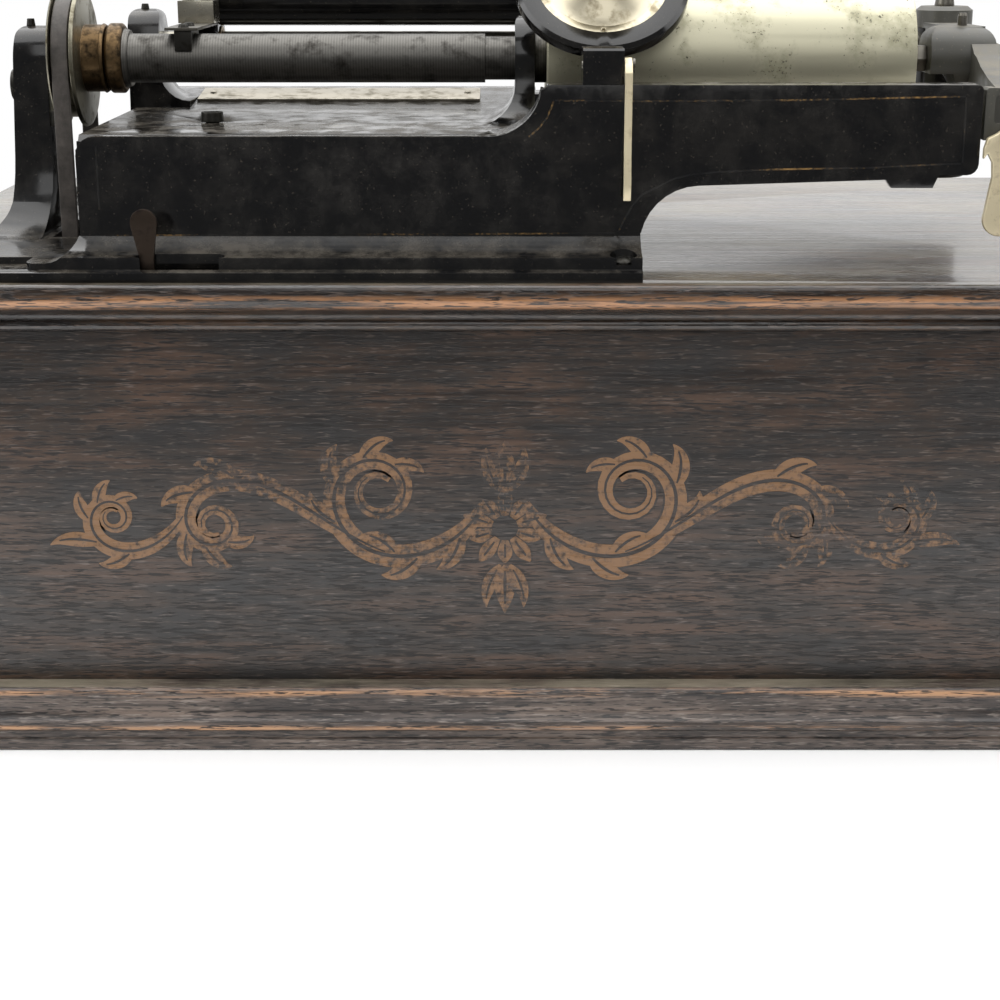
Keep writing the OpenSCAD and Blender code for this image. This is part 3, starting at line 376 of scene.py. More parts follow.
@dataclass(frozen=True)
class Metal(Finish):
    """Turned, drawn or plated metal: soft gloss, brown oil in patches, and fine tool marks."""
    colour: str = "#b9b5a9"  # the clean metal
    tarnish: str = "#6b6250"  # colour of the dull patches
    amount: float = 0.5  # how much is tarnished, 0 to 1
    patch_mm: float = 6.0  # size of the patches
    marks_mm: float = 0.0  # spacing of the turning marks along X, or 0 for none
    pits: float = 0.0  # strength of the dark pits
    pit_mm: float = 0.9  # size of the pits
    pit: str = "#1e1b17"  # colour in the pits
    metallic: float = 1.0  # less than one where the plate is clouded over

    def network(self, tree: Tree, place: Socket) -> dict[str, object]:
        """Patch the tarnish, pit it, and cut the tool marks into the bump.

        Args:
            tree: the node tree.
            place: object coordinates.

        Returns:
            The shader's inputs and what feeds them.
        """
        cloud = put(tree, "TexNoise",
                    {"Vector": place, "Scale": per_mm(self.patch_mm), "Detail": 7.0, "Roughness": 0.65})
        clean, dull = 0.66 - 0.3 * self.amount, 0.80 - 0.2 * self.amount
        cover = put(tree, "MapRange", {"Value": cloud, "From Min": clean, "From Max": dull})
        colour = put(tree, "Mix", {0: cover, 6: self.colour, 7: self.tarnish}, **RGBA)
        relief = cloud
        if self.pits:
            spots = put(tree, "TexNoise",
                        {"Vector": place, "Scale": per_mm(self.pit_mm), "Detail": 4.0, "Roughness": 0.7})
            joined = put(tree, "Math", {0: cloud, 1: 0.45, 2: spots}, operation="MULTIPLY_ADD")
            hole = put(tree, "MapRange",
                       {"Value": joined, "From Min": 0.86, "From Max": 0.93, "To Max": self.pits})
            colour = put(tree, "Mix", {0: hole, 6: colour, 7: self.pit}, **RGBA)
            relief = put(tree, "Math", {0: hole, 1: -1.0}, operation="MULTIPLY")
        if self.marks_mm:
            # a wave texture of scale 1 has a period of tau / 20 metres
            scale = per_mm(self.marks_mm) * math.tau / 20.0
            rings = put(tree, "TexWave",
                        {"Vector": place, "Scale": scale, "Distortion": 0.4, "Detail": 2.0}, output="Fac",
                        bands_direction="X", wave_profile="SIN")
            shade = put(tree, "MapRange", {"Value": rings, "To Min": 0.62, "To Max": 1.0})
            grey = put(tree, "CombineColor", {0: shade, 1: shade, 2: shade})
            colour = put(tree, "Mix", {0: 0.7, 6: colour, 7: grey}, blend_type="MULTIPLY", **RGBA)
            relief = rings
        rough = put(tree, "MapRange", {"Value": cover, "To Min": self.rough, "To Max": self.rough + 0.25})
        bump = put(tree, "Bump", {"Height": relief, "Strength": 0.2, "Distance": 0.05 * MM})
        return {"Base Color": colour, "Metallic": self.metallic, "Roughness": rough, "Normal": bump}


@dataclass(frozen=True)
class Hide(Finish):
    """Vegetable tanned belt leather, grey-brown with oil and dust, its grain rubbed smooth."""
    colour: str = "#302c28"  # the oiled face
    dry: str = "#5a544f"  # the rubbed colour
    grain_mm: float = 0.7  # size of the grain's cells
    patch_mm: float = 5.0  # size of the rubbed patches

    def network(self, tree: Tree, place: Socket) -> dict[str, object]:
        """Crack and rub the leather.

        Args:
            tree: the node tree.
            place: object coordinates.

        Returns:
            The shader's inputs and what feeds them.
        """
        cloud = put(tree, "TexNoise",
                    {"Vector": place, "Scale": per_mm(self.patch_mm), "Detail": 7.0, "Roughness": 0.7})
        cells = put(tree, "TexVoronoi", {"Vector": place, "Scale": per_mm(self.grain_mm)})
        colour = put(tree, "ValToRGB", {"Fac": cloud}, stops=((0.32, self.colour), (0.72, self.dry)))
        bump = put(tree, "Bump", {"Height": cells, "Strength": 0.4, "Distance": 0.06 * MM})
        return {"Base Color": colour, "Roughness": self.rough, "Normal": bump}


class Look(Enum):
    """The finishes of the instrument, by what each part is."""
    # varnish over dark grain: the top mirrors the room in streaks, its nose is rubbed to orange wood
    TOP_OAK = FumedOak("fumed_oak_top_varnished", rough=0.28, dark="#241a15", mid="#3e2e20",
                       light="#543d2b", worn="#b98458", worn_bands=((0.1268, 0.1296),), wear=1.0,
                       dusty=0.36, coat=0.6, coat_rough=0.09)
    # the same on the end runs of the cap: the streaks turn the corner at the mitre
    TOP_END_OAK = replace(TOP_OAK, name="fumed_oak_top_end_varnished", grain_axis=1)
    # thin old varnish on an upright board: a dull, even sheen, with pale dashes painted in as glints of
    # light
    PANEL_OAK = FumedOak("fumed_oak_panel_varnished", rough=0.42, coat=0.45, coat_rough=0.24)
    # the same sheen, its painted glints running away from the viewer
    SIDE_OAK = replace(PANEL_OAK, name="fumed_oak_side_varnished", grain_axis=1)
    # handled and dusted moulding: greyer, with rubbed ridges and paler painted glints
    PLINTH_OAK = FumedOak("fumed_oak_plinth_moulded", rough=0.38, dark="#3a312d", mid="#5c5049",
                          light="#796a60", painted_glint="#958a81", worn="#b98d68",
                          worn_bands=((0.0062, 0.0074), (0.0152, 0.0171)), wear=0.8,
                          dusty=0.55, coat=0.4)
    # the same grey ridges on the end runs of the plinth
    PLINTH_SIDE_OAK = replace(PLINTH_OAK, name="fumed_oak_plinth_side_moulded", grain_axis=1)
    # sawn and never varnished, so pale and matt; its pale dashes are painted glints
    PINE = FumedOak("pine_sawn_bare", rough=0.7, dark="#8a6c46", mid="#a5875c", light="#b99b70",
                    painted_glint="#c4a982", pore="#6d5334", coat=0.0)
    # enamel stoved on cast iron: near black with sharp reflections
    JAPAN = Japan("japan_black_baked_on_cast_iron", rough=0.10)
    # the arm is wiped more often, so it mirrors more and holds less dust
    JAPAN_ARM = Japan("japan_black_polished_arm", rough=0.08, dusty=0.12)
    # the gate's enamel has gone grey and satin under dried oil
    JAPAN_GREY = Japan("japan_dulled_by_oil_on_gate", rough=0.36, colour="#43423c", dust="#8a8477",
                       dusty=0.6, grit=0.6, speck="#77705f")
    # warm white metal, soft in its reflections, dull where the plate has clouded
    NICKEL = Metal("nickel_plate_old", rough=0.24, colour="#b8b3a4", tarnish="#857b66", amount=0.35)
    # a yellower ring around the dark face
    RIM_NICKEL = Metal("nickel_plate_yellowed", rough=0.28, colour="#bdb59f", tarnish="#857a62",
                       amount=0.45)
    # a thin strip that reads as cream, because it has lost its mirror
    LEVER_NICKEL = Metal("nickel_plate_clouded_strip", rough=0.38, colour="#e0d3b2", tarnish="#b5a685",
                         amount=0.35, patch_mm=3.0, metallic=0.55)
    # the palest thing in sight: a broad soft light along it, and dark specks where the plate is through
    DRUM = Metal("nickel_plate_worn_on_brass_drum", rough=0.42, colour="#c4c0a8", tarnish="#a29f87",
                 patch_mm=14.0, pits=0.85, pit_mm=1.0, metallic=0.8)
    # a long bright line with brown ends, where no carriage wipes it
    ROD = Metal("cold_drawn_rod_nickel_plated", rough=0.30, colour="#a8a497", tarnish="#5d5445",
                patch_mm=10.0)
    # greyer than the drum, so that the pulley stands apart from the white behind it
    FLANGE = Metal("nickel_plate_grey_on_pulley", rough=0.34, colour="#8c8878", tarnish="#57503f",
                   amount=0.55, patch_mm=5.0)
    # a dark bar with fine rings; the real thread, 0.25 mm, is too fine to show, so it is drawn at 0.8 mm
    SCREW = Metal("cut_steel_feed_screw_oiled", rough=0.44, colour="#6a6864", tarnish="#383531",
                  marks_mm=0.8, patch_mm=8.0)
    # bare steel, grey with brown oil in the corners
    STEEL = Metal("turned_steel_oiled", rough=0.36, colour="#6d6a63", tarnish="#3a342b",
                  patch_mm=3.0)
    # screw heads almost as dark as the enamel, found by their edges
    DARK_STEEL = Metal("blued_steel_worn", rough=0.38, colour="#3a3936", tarnish="#221e1a",
                       patch_mm=3.0)
    # the start lever: dull chocolate against the black
    BROWN_STEEL = Metal("spring_steel_oil_browned", rough=0.40, colour="#433a33", tarnish="#272120",
                        patch_mm=4.0)
    # the pulley's hub, warm and nearly black
    BRONZE = Metal("turned_bronze_blackened", rough=0.40, colour="#6b573e", tarnish="#2f281f", amount=0.7,
                   patch_mm=3.0)
    # collars and weights, golden where they have rubbed
    BRASS = Metal("turned_brass_browned", rough=0.34, colour="#8c744b", tarnish="#4a3a26", amount=0.6,
                  patch_mm=3.0)
    # a pale flat plate behind the works, without lustre
    PLATE = Metal("etched_plate_blank_dusty", rough=0.45, colour="#aca699", tarnish="#7a7466", amount=0.6,
                  patch_mm=5.0)
    # a soft grey band without a highlight; its grain, some 0.2 mm, is drawn at 0.7 mm to show at all
    HIDE = Hide("oak_tanned_leather_belt", rough=0.5)
    # black wood with a low shine, rounder to the eye than the enamel; its dashes are painted glints
    HANDLE = FumedOak("turned_beech_stained_black", rough=0.35, dark="#120e0c", mid="#1d1613",
                      light="#2e231c", painted_glint="#3a2e26", coat=0.3)
    # a warm disc at the bottom of the reproducer's neck
    COPPER = Metal("spun_copper_diaphragm", rough=0.35, colour="#8a5a3c", tarnish="#5a3a26", amount=0.4)
    # thin gold lines on the enamel; where one is rubbed, the enamel itself shows
    STRIPE = replace(JAPAN, name="gold_bronze_pinstripe_on_japan", rough=0.3,
                     paint=Paint("#8f6f40", left=0.36, patch_mm=1.0, fade_mm=22.0))
    # dull gold leaves that sink into the board; where they are rubbed, the oak itself shows
    SCROLL = replace(PANEL_OAK, name="gold_bronze_scroll_on_oak",
                     paint=Paint("#7f5c3a", left=0.62, patch_mm=2.2, fade_mm=45.0))
    # a dark line that lifts the leaves off the board
    SCROLL_DARK = replace(PANEL_OAK, name="dark_outline_of_scroll_on_oak",
                          paint=Paint("#241b16", left=0.66, patch_mm=2.2, fade_mm=45.0))

    @property
    def material(self) -> bpy.types.Material:
        """The finish's material, made once."""
        made = bpy.data.materials.get(self.value.name)
        return made if made else self.value.build()


class Slot(Enum):
    """Material slots of the record, by name; no piece here takes them."""
    OAK = "oak"
    JAPAN = "japanned_iron"


def new_piece(name: str, shape: Shape, look: Look, body: str) -> bpy.types.Object:
    """Turn a bmesh into a shown piece that rides on a body.

    Args:
        name: the piece's name.
        shape: its shape, in the row frame; it is freed.
        look: its finish.
        body: the body that carries it.

    Returns:
        The new object.
    """
    mesh = bpy.data.meshes.new(name)
    shape.to_mesh(mesh)
    shape.free()
    mesh.materials.append(look.material)
    piece = bpy.data.objects.new(name, mesh)
    SCENE.collection.objects.link(piece)
    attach(piece, body)
    LOG.info("%s: %d faces on %s", name, len(mesh.polygons), body)
    return piece


def dress_node(name: str, look: Look) -> None:
    """Give a CAD node that keeps its own mesh a finish.

    Args:
        name: the CAD node.
        look: the finish.
    """
    mesh = frame["nodes"][name].data
    mesh.materials.clear()
    mesh.materials.append(look.material)


def eased_copy(node_name: str, look: Look, width_mm: float) -> bpy.types.Object:
    """Copy a CAD node and ease its sharp edges, as casting, filing or sanding leaves them.

    Args:
        node_name: the CAD node.
        look: the finish.
        width_mm: width of the eased edge.

    Returns:
        The piece that replaces the node.
    """
    node = frame["nodes"][node_name]
    shape = bmesh.new()
    shape.from_mesh(node.data)
    bmesh.ops.remove_doubles(shape, verts=shape.verts, dist=WELD_MM * MM)
    bmesh.ops.dissolve_limit(shape, angle_limit=math.radians(FLAT_DEG), verts=shape.verts,
                             edges=shape.edges, use_dissolve_boundaries=False)
    limit = math.radians(CRISP_DEG)
    sharp = [e for e in shape.edges if len(e.link_faces) == 2 and e.calc_face_angle(0.0) > limit]
    if sharp:
        bmesh.ops.bevel(shape, geom=sharp, offset=width_mm * MM, offset_type="OFFSET", affect="EDGES",
                        segments=3, profile=0.5, clamp_overlap=True, material=-1)
    bmesh.ops.triangulate(shape, faces=[f for f in shape.faces if len(f.verts) > 4])
    for face in shape.faces:
        face.smooth = True
    piece = new_piece(node_name + "_eased", shape, look, node["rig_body"])
    piece.data.set_sharp_from_angle(angle=math.radians(ROUND_DEG))
    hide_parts(node_name)
    return piece


def ribbon(shape: Shape, route: Sequence[Vector], widths: Sequence[float], film: float) -> None:
    """Sweep a flat band of paint that faces forward along a route, by extruding its first edge.

    Args:
        shape: the bmesh to add to.
        route: the middle of the band, in metres.
        widths: its width at each point, in metres.
        film: thickness of the paint, in metres.
    """
    rows = []
    for index, point in enumerate(route):
        ahead = route[min(len(route) - 1, index + 1)] - route[max(0, index - 1)]
        half = ahead.cross(FORWARD).normalized() * (widths[index] * 0.5)
        rows.append((point + half, point - half))
    ends = [shape.verts.new(corner) for corner in rows[0]]
    edge = shape.edges.new(ends)
    faces = []
    for corners in rows[1:]:
        grown = bmesh.ops.extrude_edge_only(shape, edges=[edge])["geom"]
        before = ends[0].co.copy()
        new_verts = (v for v in grown if isinstance(v, bmesh.types.BMVert))
        ends = sorted(new_verts, key=lambda vert: (vert.co - before).length)
        for vert, corner in zip(ends, corners):
            vert.co = corner
        edge = shape.edges.get(ends)
        faces += [f for f in grown if isinstance(f, bmesh.types.BMFace)]
    bmesh.ops.recalc_face_normals(shape, faces=faces)
    if faces[0].normal.dot(FORWARD) < 0.0:
        bmesh.ops.reverse_faces(shape, faces=faces)
    bmesh.ops.solidify(shape, geom=faces, thickness=film)


@dataclass(frozen=True)
class Curl:
    """A brush stroke that bends more and more along its length, in X and Z millimetres."""
    root: tuple[float, float]  # where the brush sets down
    heading: float  # its first direction, in degrees from X
    length: float  # length of the stroke
    bend_first: float  # degrees of bend per millimetre at the root
    bend_last: float  # degrees of bend per millimetre at the tip
    thick: float  # widest width
    root_wide: float  # width at the root
    tip_wide: float  # width at the tip
    peak: float  # where it is widest, 0 to 1
    steps: int = 56  # points along it

    def path(self) -> list[tuple[float, float, float]]:
        """Points of the stroke.

        Returns:
            X, Z and heading at each point.
        """
        x, z = self.root
        heading = self.heading
        step = self.length / self.steps
        out = [(x, z, heading)]
        for index in range(self.steps):
            t = (index + 0.5) / self.steps
            heading += (self.bend_first + (self.bend_last - self.bend_first) * t * t) * step
            x += step * math.cos(math.radians(heading))
            z += step * math.sin(math.radians(heading))
            out.append((x, z, heading))
        return out

    def at_heading(self, heading: float) -> tuple[float, float, float]:
        """First point where the stroke has turned past a heading.

        Args:
            heading: the heading in degrees.

        Returns:
            X, Z and heading there, or the tip.
        """
        points = self.path()
        rising = self.bend_last > 0.0
        past = (p for p in points if (p[2] >= heading if rising else p[2] <= heading))
        return next(past, points[-1])

    def width(self, t: float) -> float:
        """Width at a place along the stroke.

        Args:
            t: 0 at the root, 1 at the tip.

        Returns:
            The width in millimetres.
        """
        if t < self.peak:
            return self.root_wide + (self.thick - self.root_wide) * math.sin(t / self.peak * math.pi / 2)
        past = (t - self.peak) / (1.0 - self.peak)
        return self.tip_wide + (self.thick - self.tip_wide) * math.cos(past * math.pi / 2)

    def leaf(self, heading: float, lean: float, length: float, thick: float, bend: float) -> Curl:
        """A leaf that springs from this stroke and bends a little at first and much at its tip.

        Args:
            heading: the stroke's heading where the leaf springs.
            lean: how far it leans away from the stroke, in degrees.
            length: length of the leaf.
            thick: widest width.
            bend: degrees that it bends over its length.

        Returns:
            The leaf.
        """
        x, z, here = self.at_heading(heading)
        even = bend / length  # degrees per millimetre, if it bent evenly
        return Curl((x, z), here + lean, length, 0.4 * even, 2.2 * even, thick, root_wide=1.6,
                    tip_wide=0.3, peak=0.42, steps=16)


@dataclass
class ScrollWork:
    """A rosette between mirrored leaf scrolls, faded bronze with a dark outline and dark veins."""
    centre: tuple[float, float] = (-20.0, 63.0)  # its middle on the panel, X and Z in millimetres
    size: float = 0.9  # scale of the whole
    outline_mm: float = 0.7  # how far the dark outline stands past the bronze
    vein: float = 0.16  # part of a stroke's width that its dark vein takes
    film_mm: float = 0.012  # thickness of one coat of paint
    lift_mm: float = 0.004  # how far the first stroke's underside stands off the wood
    coat_mm: float = 0.06  # how far each coat stands above the one before
    stroke_mm: float = 0.002  # how far each stroke stands above the one before

    def strokes(self) -> list[Curl]:
        """The strokes of the right half.

        Returns:
            Scrolls, leaves and palmettes, in order of painting.
        """
        great = Curl((6.5, 8.0), -66.0, 134.0, 1.75, 10.8, 7.6, 2.6, 1.6, 0.20)
        x, z, heading = great.at_heading(-2.0)
        middle = Curl((x, z), heading + 18.0, 124.0, 0.9, -15.5, 7.0, 2.0, 1.5, 0.42)
        x, z, heading = middle.at_heading(-62.0)
        last = Curl((x, z), heading + 2.0, 76.0, 1.9, 21.0, 5.6, 1.6, 1.2, 0.34)
        x, z, heading = last.at_heading(30.0)
        tip = Curl((x, z), heading - 22.0, 17.0, -0.5, -7.0, 4.8, 1.2, 0.3, 0.45, 16)
        out = [great, middle, last, tip]
        great_leaves = ((-46, 15, 5.6, 60), (-20, 15, 6.0, 60), (52, 15, 6.0, 70), (100, 15, 5.6, 70),
                        (150, 13, 5.0, 70), (200, 11, 4.4, 60))
        middle_leaves = ((40, 14, 5.4, -60), (10, 15, 5.8, -60), (-28, 13, 5.4, -60), (-95, 13, 5.2, -64),
                         (-140, 12, 5.0, -64), (-190, 10, 4.4, -60))
        last_leaves = ((-12, 12, 4.8, 60), (80, 11, 4.4, 60), (130, 10, 4.0, 60), (180, 8, 3.6, 60))
        for stem, lean, leaves in ((great, -35.0, great_leaves), (middle, 36.0, middle_leaves),
                                   (last, -36.0, last_leaves)):
            out += [stem.leaf(heading, lean, *leaf) for heading, *leaf in leaves]
        for up in (-1, 1):
            out.append(Curl((1.5, 12.0 * up), 56.0 * up, 15.0, 1.5 * up, 5.0 * up, 4.6, 1.0, 0.3, 0.4, 16))
        return out

    def middle_strokes(self) -> list[Curl]:
        """The strokes on the middle line, which aren't mirrored.

        Returns:
            The rosette's petals and the two upright leaves.
        """
        out = []
        for petal in range(10):
            turn = 90.0 + 36.0 * petal
            root = (4.0 * math.cos(math.radians(turn)), 4.0 * math.sin(math.radians(turn)))
            out.append(Curl(root, turn, 9.5 if petal % 2 == 0 else 7.5, 0.0, 0.0, 4.6, 2.0, 0.5, 0.55, 12))
        for up in (-1, 1):
            out.append(Curl((0.0, 12.0 * up), 90.0 * up, 16.0, 0.0, 0.0, 6.5, 1.0, 0.3, 0.4, 16))
        return out

    def lay(self, shape: Shape, stroke: Curl, side: int, lift: float, grow: float, share: float) -> None:
        """Paint one stroke on the front panel; a vein keeps short of both ends of its stroke.

        Args:
            shape: the bmesh to add to.
            stroke: the stroke.
            side: 1 on the right, -1 on the left.
            lift: how far its underside stands off the wood, in millimetres.
            grow: millimetres added to its width.
            share: part of the width that is painted.
        """
        face_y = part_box("case_front")[0][1] - (lift + self.film_mm) * MM
        first = 0 if share == 1.0 else 2
        path = stroke.path() if share == 1.0 else stroke.path()[first:-3]
        route = [Vector(((self.centre[0] + side * self.size * x) * MM, face_y,
                         (self.centre[1] + self.size * z) * MM)) for x, z, _ in path]
        widths = [(stroke.width(place / stroke.steps) * share + grow) * self.size * MM
                  for place in range(first, first + len(path))]
        ribbon(shape, route, widths, self.film_mm * MM)

    def build(self) -> None:
        """Lay the outline, the bronze and the veins; each stroke stands a hair above the one before."""
        coats = (("panel_scroll_outline", Look.SCROLL_DARK, 2.0 * self.outline_mm, 1.0),
                 ("panel_scroll_bronze", Look.SCROLL, 0.0, 1.0),
                 ("panel_scroll_veins", Look.SCROLL_DARK, 0.0, self.vein))
        for coat, (name, look, grow, share) in enumerate(coats):
            shape = bmesh.new()
            lift = self.lift_mm + self.coat_mm * coat
            for order, stroke in enumerate(self.strokes()):
                for side in (-1, 1):
                    self.lay(shape, stroke, side, lift + self.stroke_mm * order, grow, share)
            # half a step higher, so that no middle stroke lies level with a side stroke
            for order, stroke in enumerate(self.middle_strokes()):
                self.lay(shape, stroke, 1, lift + self.stroke_mm * (order + 0.5), grow, share)
            new_piece(name, shape, look, "root")


@dataclass
class Case:
    """The moulded oak case with the scroll work on its front."""
    top_edge_mm: float = 0.5  # eased edge of the top board
    board_edge_mm: float = 0.3  # eased edges of the other boards
    level: float = 0.98  # how upright a face's normal is on a board's flat top

    def build(self) -> None:
        """Finish the boards and paint the front."""
        top = eased_copy("top_board", Look.TOP_OAK, self.top_edge_mm)
        self.turn_grain(top, Look.TOP_END_OAK)
        plinth = eased_copy("base_moulding", Look.PLINTH_OAK, self.board_edge_mm)
        self.turn_grain(plinth, Look.PLINTH_SIDE_OAK)
        for name in ("case_front", "case_back"):
            eased_copy(name, Look.PANEL_OAK, self.board_edge_mm)
        for name in ("case_left", "case_right"):
            eased_copy(name, Look.SIDE_OAK, self.board_edge_mm)
        for name in ("bottom_board", "glue_blocks"):
            dress_node(name, Look.PINE)
        ScrollWork().build()

    def turn_grain(self, piece: bpy.types.Object, side: Look) -> None:
        """Run the grain of both ends' moulded edges along Y, as on strips mitred at the corners.

        Args:
            piece: the moulding, with the grain of its front and back along X.
            side: the same finish with its grain along Y.
        """
        piece.data.materials.append(side.material)
        corners = [Vector(corner) for corner in piece.bound_box]
        half_x, half_y = max(c.x for c in corners), max(c.y for c in corners)
        for face in piece.data.polygons:
            near_end = half_x - abs(face.center.x) < half_y - abs(face.center.y)
            if near_end and abs(face.normal.z) < self.level:
                face.material_index = 1


@dataclass
class BedWorks:
    """The cast bed with its pinstripes, and the fixed parts on it."""
    front_y_mm: float = -101.0  # the bed's front face
    stripe_mm: float = 0.45  # width of a pinstripe
    film_mm: float = 0.03  # thickness of its paint
    cast_edge_mm: float = 0.9  # eased edges of the casting
    belt_edge_mm: float = 0.35  # rubbed edges of the belt
    steel_edge_mm: float = 0.3  # eased edges of the rod, the lever and the escutcheon
    plate_edge_mm: float = 0.12  # eased edges of the thin plate
    screw_edge_mm: float = 0.2  # eased edges of the screws

    def build(self) -> None:
        """Ease the castings, dress the screws and paint the lines."""
        eased_copy("bedplate", Look.JAPAN, self.cast_edge_mm)
        eased_copy("drive_belt", Look.HIDE, self.belt_edge_mm)
        eased_copy("back_rod", Look.ROD, self.steel_edge_mm)
        eased_copy("data_plate", Look.PLATE, self.plate_edge_mm)
        for name in ("bed_bolts", "post_set_screws", "left_centre_screw", "speed_screw"):
            eased_copy(name, Look.DARK_STEEL, self.screw_edge_mm)
        eased_copy("start_lever", Look.BROWN_STEEL, self.steel_edge_mm)
        eased_copy("crank_escutcheon", Look.NICKEL, self.steel_edge_mm)
        dress_node("start_lever_pivot", Look.STEEL)
        self.pinstripes()

    def line(self, shape: Shape, points: Sequence[tuple[float, float]]) -> None:
        """Paint one gold line on the bed's front.

        Args:
            shape: the bmesh to add to.
            points: X and Z of its corners and bends, in millimetres.
        """
        depth = (self.front_y_mm - self.film_mm) * MM
        route = [Vector((x * MM, depth, z * MM)) for x, z in points]
        ribbon(shape, route, [self.stripe_mm * MM] * len(route), self.film_mm * MM)

    def pinstripes(self) -> None:
        """The border that follows the wall's outline, and the lines of the rail."""
        shape = bmesh.new()
        for points in (
                [(-129.3, 150.7), (-129.3, 160.0), (-129.3, 167.6)],
                [(-128.0, 143.6), (-110.0, 143.7), (-60.0, 143.9), (0.0, 144.2), (9.6, 144.3)],
                [(10.6, 144.6), (12.4, 148.4), (14.2, 151.6), (16.8, 154.7), (21.1, 156.8), (25.3, 158.9),
                 (30.9, 160.2), (37.6, 160.7), (53.0, 161.4), (77.6, 161.8), (89.7, 162.4), (102.0, 162.9)],
                [(102.4, 163.1), (102.4, 172.0), (102.3, 180.3)],
                [(102.0, 180.5), (94.7, 180.4), (58.4, 179.6), (15.8, 179.3), (-6.7, 179.5)],
                [(-7.0, 179.4), (-7.8, 177.4), (-8.9, 174.9), (-10.7, 172.5), (-13.6, 170.0)]):
            self.line(shape, points)
        new_piece("bed_front_pinstripes", shape, Look.STRIPE, "root")


@dataclass
class Turning:
    """The mandrel with all that turns on its shaft, the motor, and the crank."""
    soft_edge_mm: float = 0.25  # eased edges of the turned parts
    hub_radius_mm: float = 10.1  # a little more than the radius of the pulley's hub
    hub_from_mm: float = -142.45  # where the hub leaves the pulley's face

    def build(self) -> None:
        """Ease and dress what turns."""
        shown = {"feed_screw_shaft": Look.SCREW, "mandrel": Look.DRUM, "mandrel_pulley": Look.FLANGE,
                 "thrust_collar": Look.BRONZE, "winding_shaft": Look.STEEL, "crank_arm": Look.NICKEL,
                 "crank_pin": Look.STEEL, "crank_handle": Look.HANDLE}
        for name, look in shown.items():
            eased_copy(name, look, self.soft_edge_mm)
        self.bronze_hub(bpy.data.objects["mandrel_pulley_eased"])
        inside = {Look.JAPAN: ("motor_plates",), Look.DARK_STEEL: ("mainspring",),
                  Look.STEEL: ("motor_pillars", "spring_barrel", "winding_arbor", "pawl", "pawl_pin",
                               "pulley_arbor", "governor_shaft"),
                  Look.BRASS: ("barrel_cover", "train_arbor", "governor_weights", "friction_disc")}
        for look, names in inside.items():
            for name in names:
                dress_node(name, look)

    def bronze_hub(self, pulley: bpy.types.Object) -> None:
        """Give the hub beside the pulley's nickelled flanges its blackened bronze.

        Args:
            pulley: the pulley with its hub.
        """
        pulley.data.materials.append(Look.BRONZE.material)
        low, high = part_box("feed_screw_shaft")
        for face in pulley.data.polygons:
            spot = face.center
            out = math.hypot(spot.y - (low[1] + high[1]) / 2, spot.z - (low[2] + high[2]) / 2)
            if out < self.hub_radius_mm * MM and spot.x > self.hub_from_mm * MM:
                face.material_index = 1


@dataclass
class Carriage:
    """The arm that slides on the rod, its feed nut, and the reproducer in its eye."""
    arm_edge_mm: float = 0.6  # eased edges of the cast arm
    part_edge_mm: float = 0.15  # eased edges of the small parts

    def build(self) -> None:
        """Ease and dress the carriage and what it carries."""
        eased_copy("carriage_arm", Look.JAPAN_ARM, self.arm_edge_mm)
        small = {"rod_bushes": Look.BRASS, "feed_nut_spring": Look.STEEL, "spring_clamp": Look.NICKEL,
                 "clamp_screws": Look.STEEL, "feed_nut": Look.DARK_STEEL, "lift_lever": Look.LEVER_NICKEL,
                 "lift_lever_pin": Look.STEEL, "reproducer_body": Look.RIM_NICKEL,
                 "reproducer_weight": Look.NICKEL, "stylus_bar": Look.STEEL}
        for name, look in small.items():
            eased_copy(name, look, self.part_edge_mm)
        dress_node("reproducer_diaphragm", Look.COPPER)


@dataclass
class Gate:
    """The swing gate that carries the mandrel's free end, and its latch."""
    arm_edge_mm: float = 0.7  # eased edges of the cast gate
    latch_edge_mm: float = 0.5  # eased edge of the latch plate
    screw_edge_mm: float = 0.2  # eased edges of the screws

    def build(self) -> None:
        """Ease and dress the gate."""
        eased_copy("gate_arm", Look.JAPAN_GREY, self.arm_edge_mm)
        eased_copy("gate_latch", Look.LEVER_NICKEL, self.latch_edge_mm)
        for name in ("gate_hinge_screw", "gate_centre_screw", "gate_locknut", "gate_set_screw",
                     "latch_screw"):
            eased_copy(name, Look.STEEL, self.screw_edge_mm)


@dataclass(frozen=True)
class SoftBox:
    """A square soft light that looks at the instrument."""
    name: str  # the light's name
    place: tuple[float, float, float]  # where it hangs, in metres
    side: float  # length of its side, in metres
    power: float  # watts
    aim: tuple[float, float, float] = (0.0, 0.0, 0.12)  # the point that it faces, in metres

    def build(self) -> None:
        """Hang the light and turn it to the instrument."""
        data = bpy.data.lights.new(self.name, "AREA")
        data.size = self.side
        data.energy = self.power
        light = bpy.data.objects.new(self.name, data)
        light.location = self.place
        way = Vector(self.aim) - Vector(self.place)
        light.rotation_euler = way.to_track_quat("-Z", "Y").to_euler()
        SCENE.collection.objects.link(light)


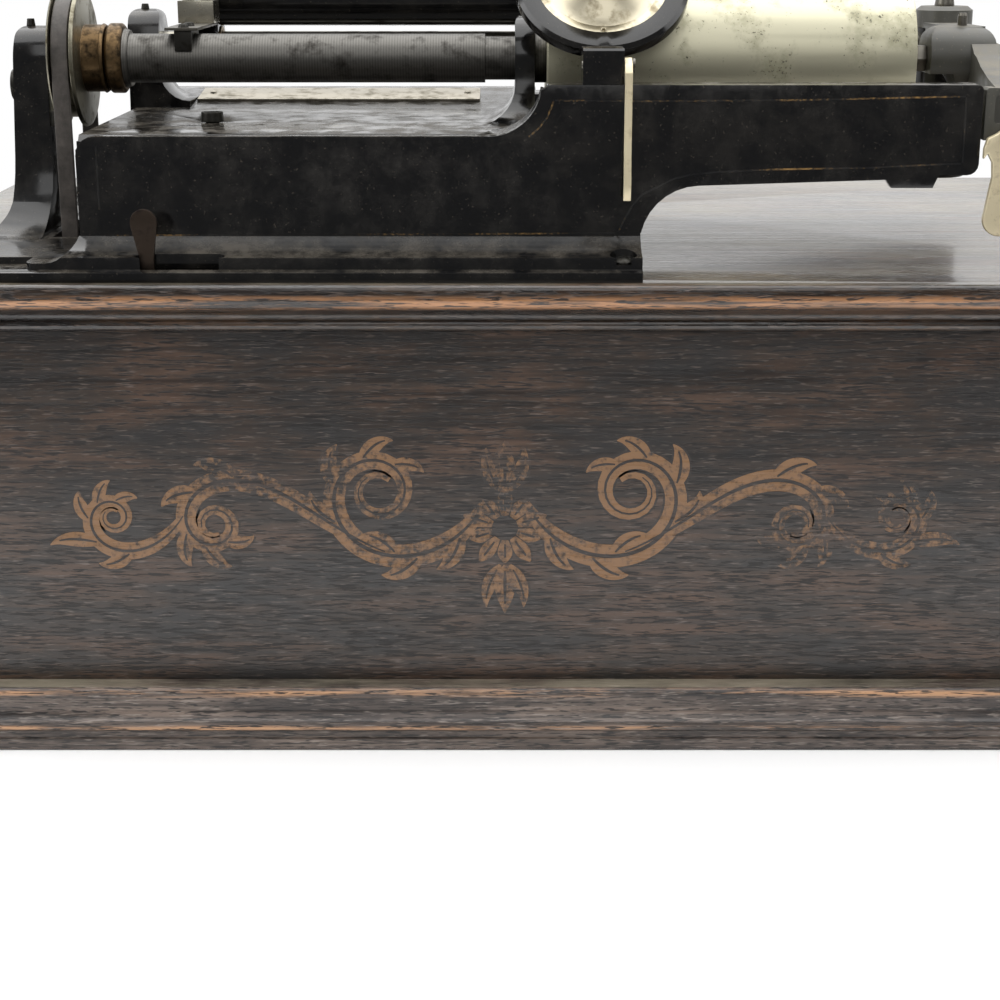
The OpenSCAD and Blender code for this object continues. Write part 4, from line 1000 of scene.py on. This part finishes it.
@dataclass
class Studio:
    """A white table in a room that is bright behind and above it, seen from the photograph's place."""
    eye_mm: tuple[float, float, float] = (-20.0, -614.0, 221.0)  # the camera's place
    pitch_deg: float = 16.5  # how far it looks down
    focal_px: float = 1900.0  # its focal length in pixels of the photograph
    middle_px: float = 505.0  # the pixel column that it looks straight along
    frame_px: float = 1000.0  # the photograph's width in pixels
    near_m: float = 0.01  # how near the camera sees
    # the table's least and greatest X and Y, in metres
    table_m: tuple[float, float, float, float] = (-1.1, 1.1, -0.42, 1.0)
    table_drop_m: float = 0.0002  # how far the table's face lies under the feet
    # what lights it, besides the room
    lights: tuple[SoftBox, ...] = (SoftBox("overhead_box", (0.0, 0.25, 1.5), side=2.2, power=34.0),
                                   SoftBox("left_box", (-1.3, -0.5, 0.9), side=0.9, power=9.0),
                                   SoftBox("right_box", (1.3, -0.4, 1.0), side=0.9, power=6.0),
                                   SoftBox("front_box", (0.1, -1.6, 1.2), side=1.2, power=7.0))
    # the way to the bright part of the room; the longer it is, the brighter
    bright_way: tuple[float, float, float] = (0.0, 0.9, 0.8)

    def build(self) -> None:
        """Set up the camera, the table, the room and the lights."""
        self.camera()
        self.table()
        self.room()
        for box in self.lights:
            box.build()

    def camera(self) -> None:
        """A camera with the focal length and place that were fitted to the photograph."""
        data = bpy.data.cameras.new("camera")
        data.lens = self.focal_px / self.frame_px * data.sensor_width
        data.shift_x = (self.frame_px / 2 - self.middle_px) / self.frame_px
        data.clip_start = self.near_m
        camera = bpy.data.objects.new("camera", data)
        camera.location = [v * MM for v in self.eye_mm]
        camera.rotation_euler = (math.radians(90.0 - self.pitch_deg), 0.0, 0.0)
        SCENE.collection.objects.link(camera)
        SCENE.camera = camera

    def table(self) -> None:
        """A matt white table top."""
        x0, x1, y0, y1 = self.table_m
        shape = bmesh.new()
        bmesh.ops.create_grid(shape, x_segments=1, y_segments=1, size=0.5)
        bmesh.ops.scale(shape, vec=(x1 - x0, y1 - y0, 1.0), verts=shape.verts)
        middle = ((x0 + x1) / 2, (y0 + y1) / 2, -self.table_drop_m)
        bmesh.ops.translate(shape, vec=middle, verts=shape.verts)
        mesh = bpy.data.meshes.new("table_top")
        shape.to_mesh(mesh)
        shape.free()
        material = bpy.data.materials.new("matt_white_paper")
        material.use_nodes = True
        paper = material.node_tree.nodes["Principled BSDF"]
        paper.inputs["Base Color"].default_value = (0.94, 0.94, 0.94, 1.0)
        paper.inputs["Roughness"].default_value = 0.9
        mesh.materials.append(material)
        table = bpy.data.objects.new("table_top", mesh)
        SCENE.collection.objects.link(table)

    def room(self) -> None:
        """A white backdrop to look at, and a room that is bright behind and above and dark in front."""
        world = bpy.data.worlds.new("white_room")
        world.use_nodes = True
        tree = world.node_tree
        tree.nodes.clear()
        way = put(tree, "TexCoord", output="Generated")
        lit = put(tree, "VectorMath", {0: way, 1: self.bright_way}, output="Value",
                  operation="DOT_PRODUCT")
        glow = put(tree, "MapRange",
                   {"Value": lit, "From Min": -0.1, "From Max": 0.75, "To Min": 0.18, "To Max": 1.0})
        light = put(tree, "Background", {0: "#ffffff", 1: glow})
        backdrop = put(tree, "Background", {0: "#ffffff", 1: 1.0})
        seen = put(tree, "LightPath", output="Is Camera Ray")
        both = put(tree, "MixShader", {0: seen, 1: light, 2: backdrop})
        put(tree, "OutputWorld", {"Surface": both})
        SCENE.world = world


def main() -> None:
    """Build every sub-assembly in order and report each."""
    logging.basicConfig(level=logging.INFO, format="%(name)s: %(message)s", stream=sys.stdout)
    SCENE.view_settings.view_transform = "Standard"
    for part in (Studio(), Case(), BedWorks(), Turning(), Carriage(), Gate()):
        part.build()
        LOG.info("built %s", type(part).__name__)


if __name__ == "__main__":
    main()
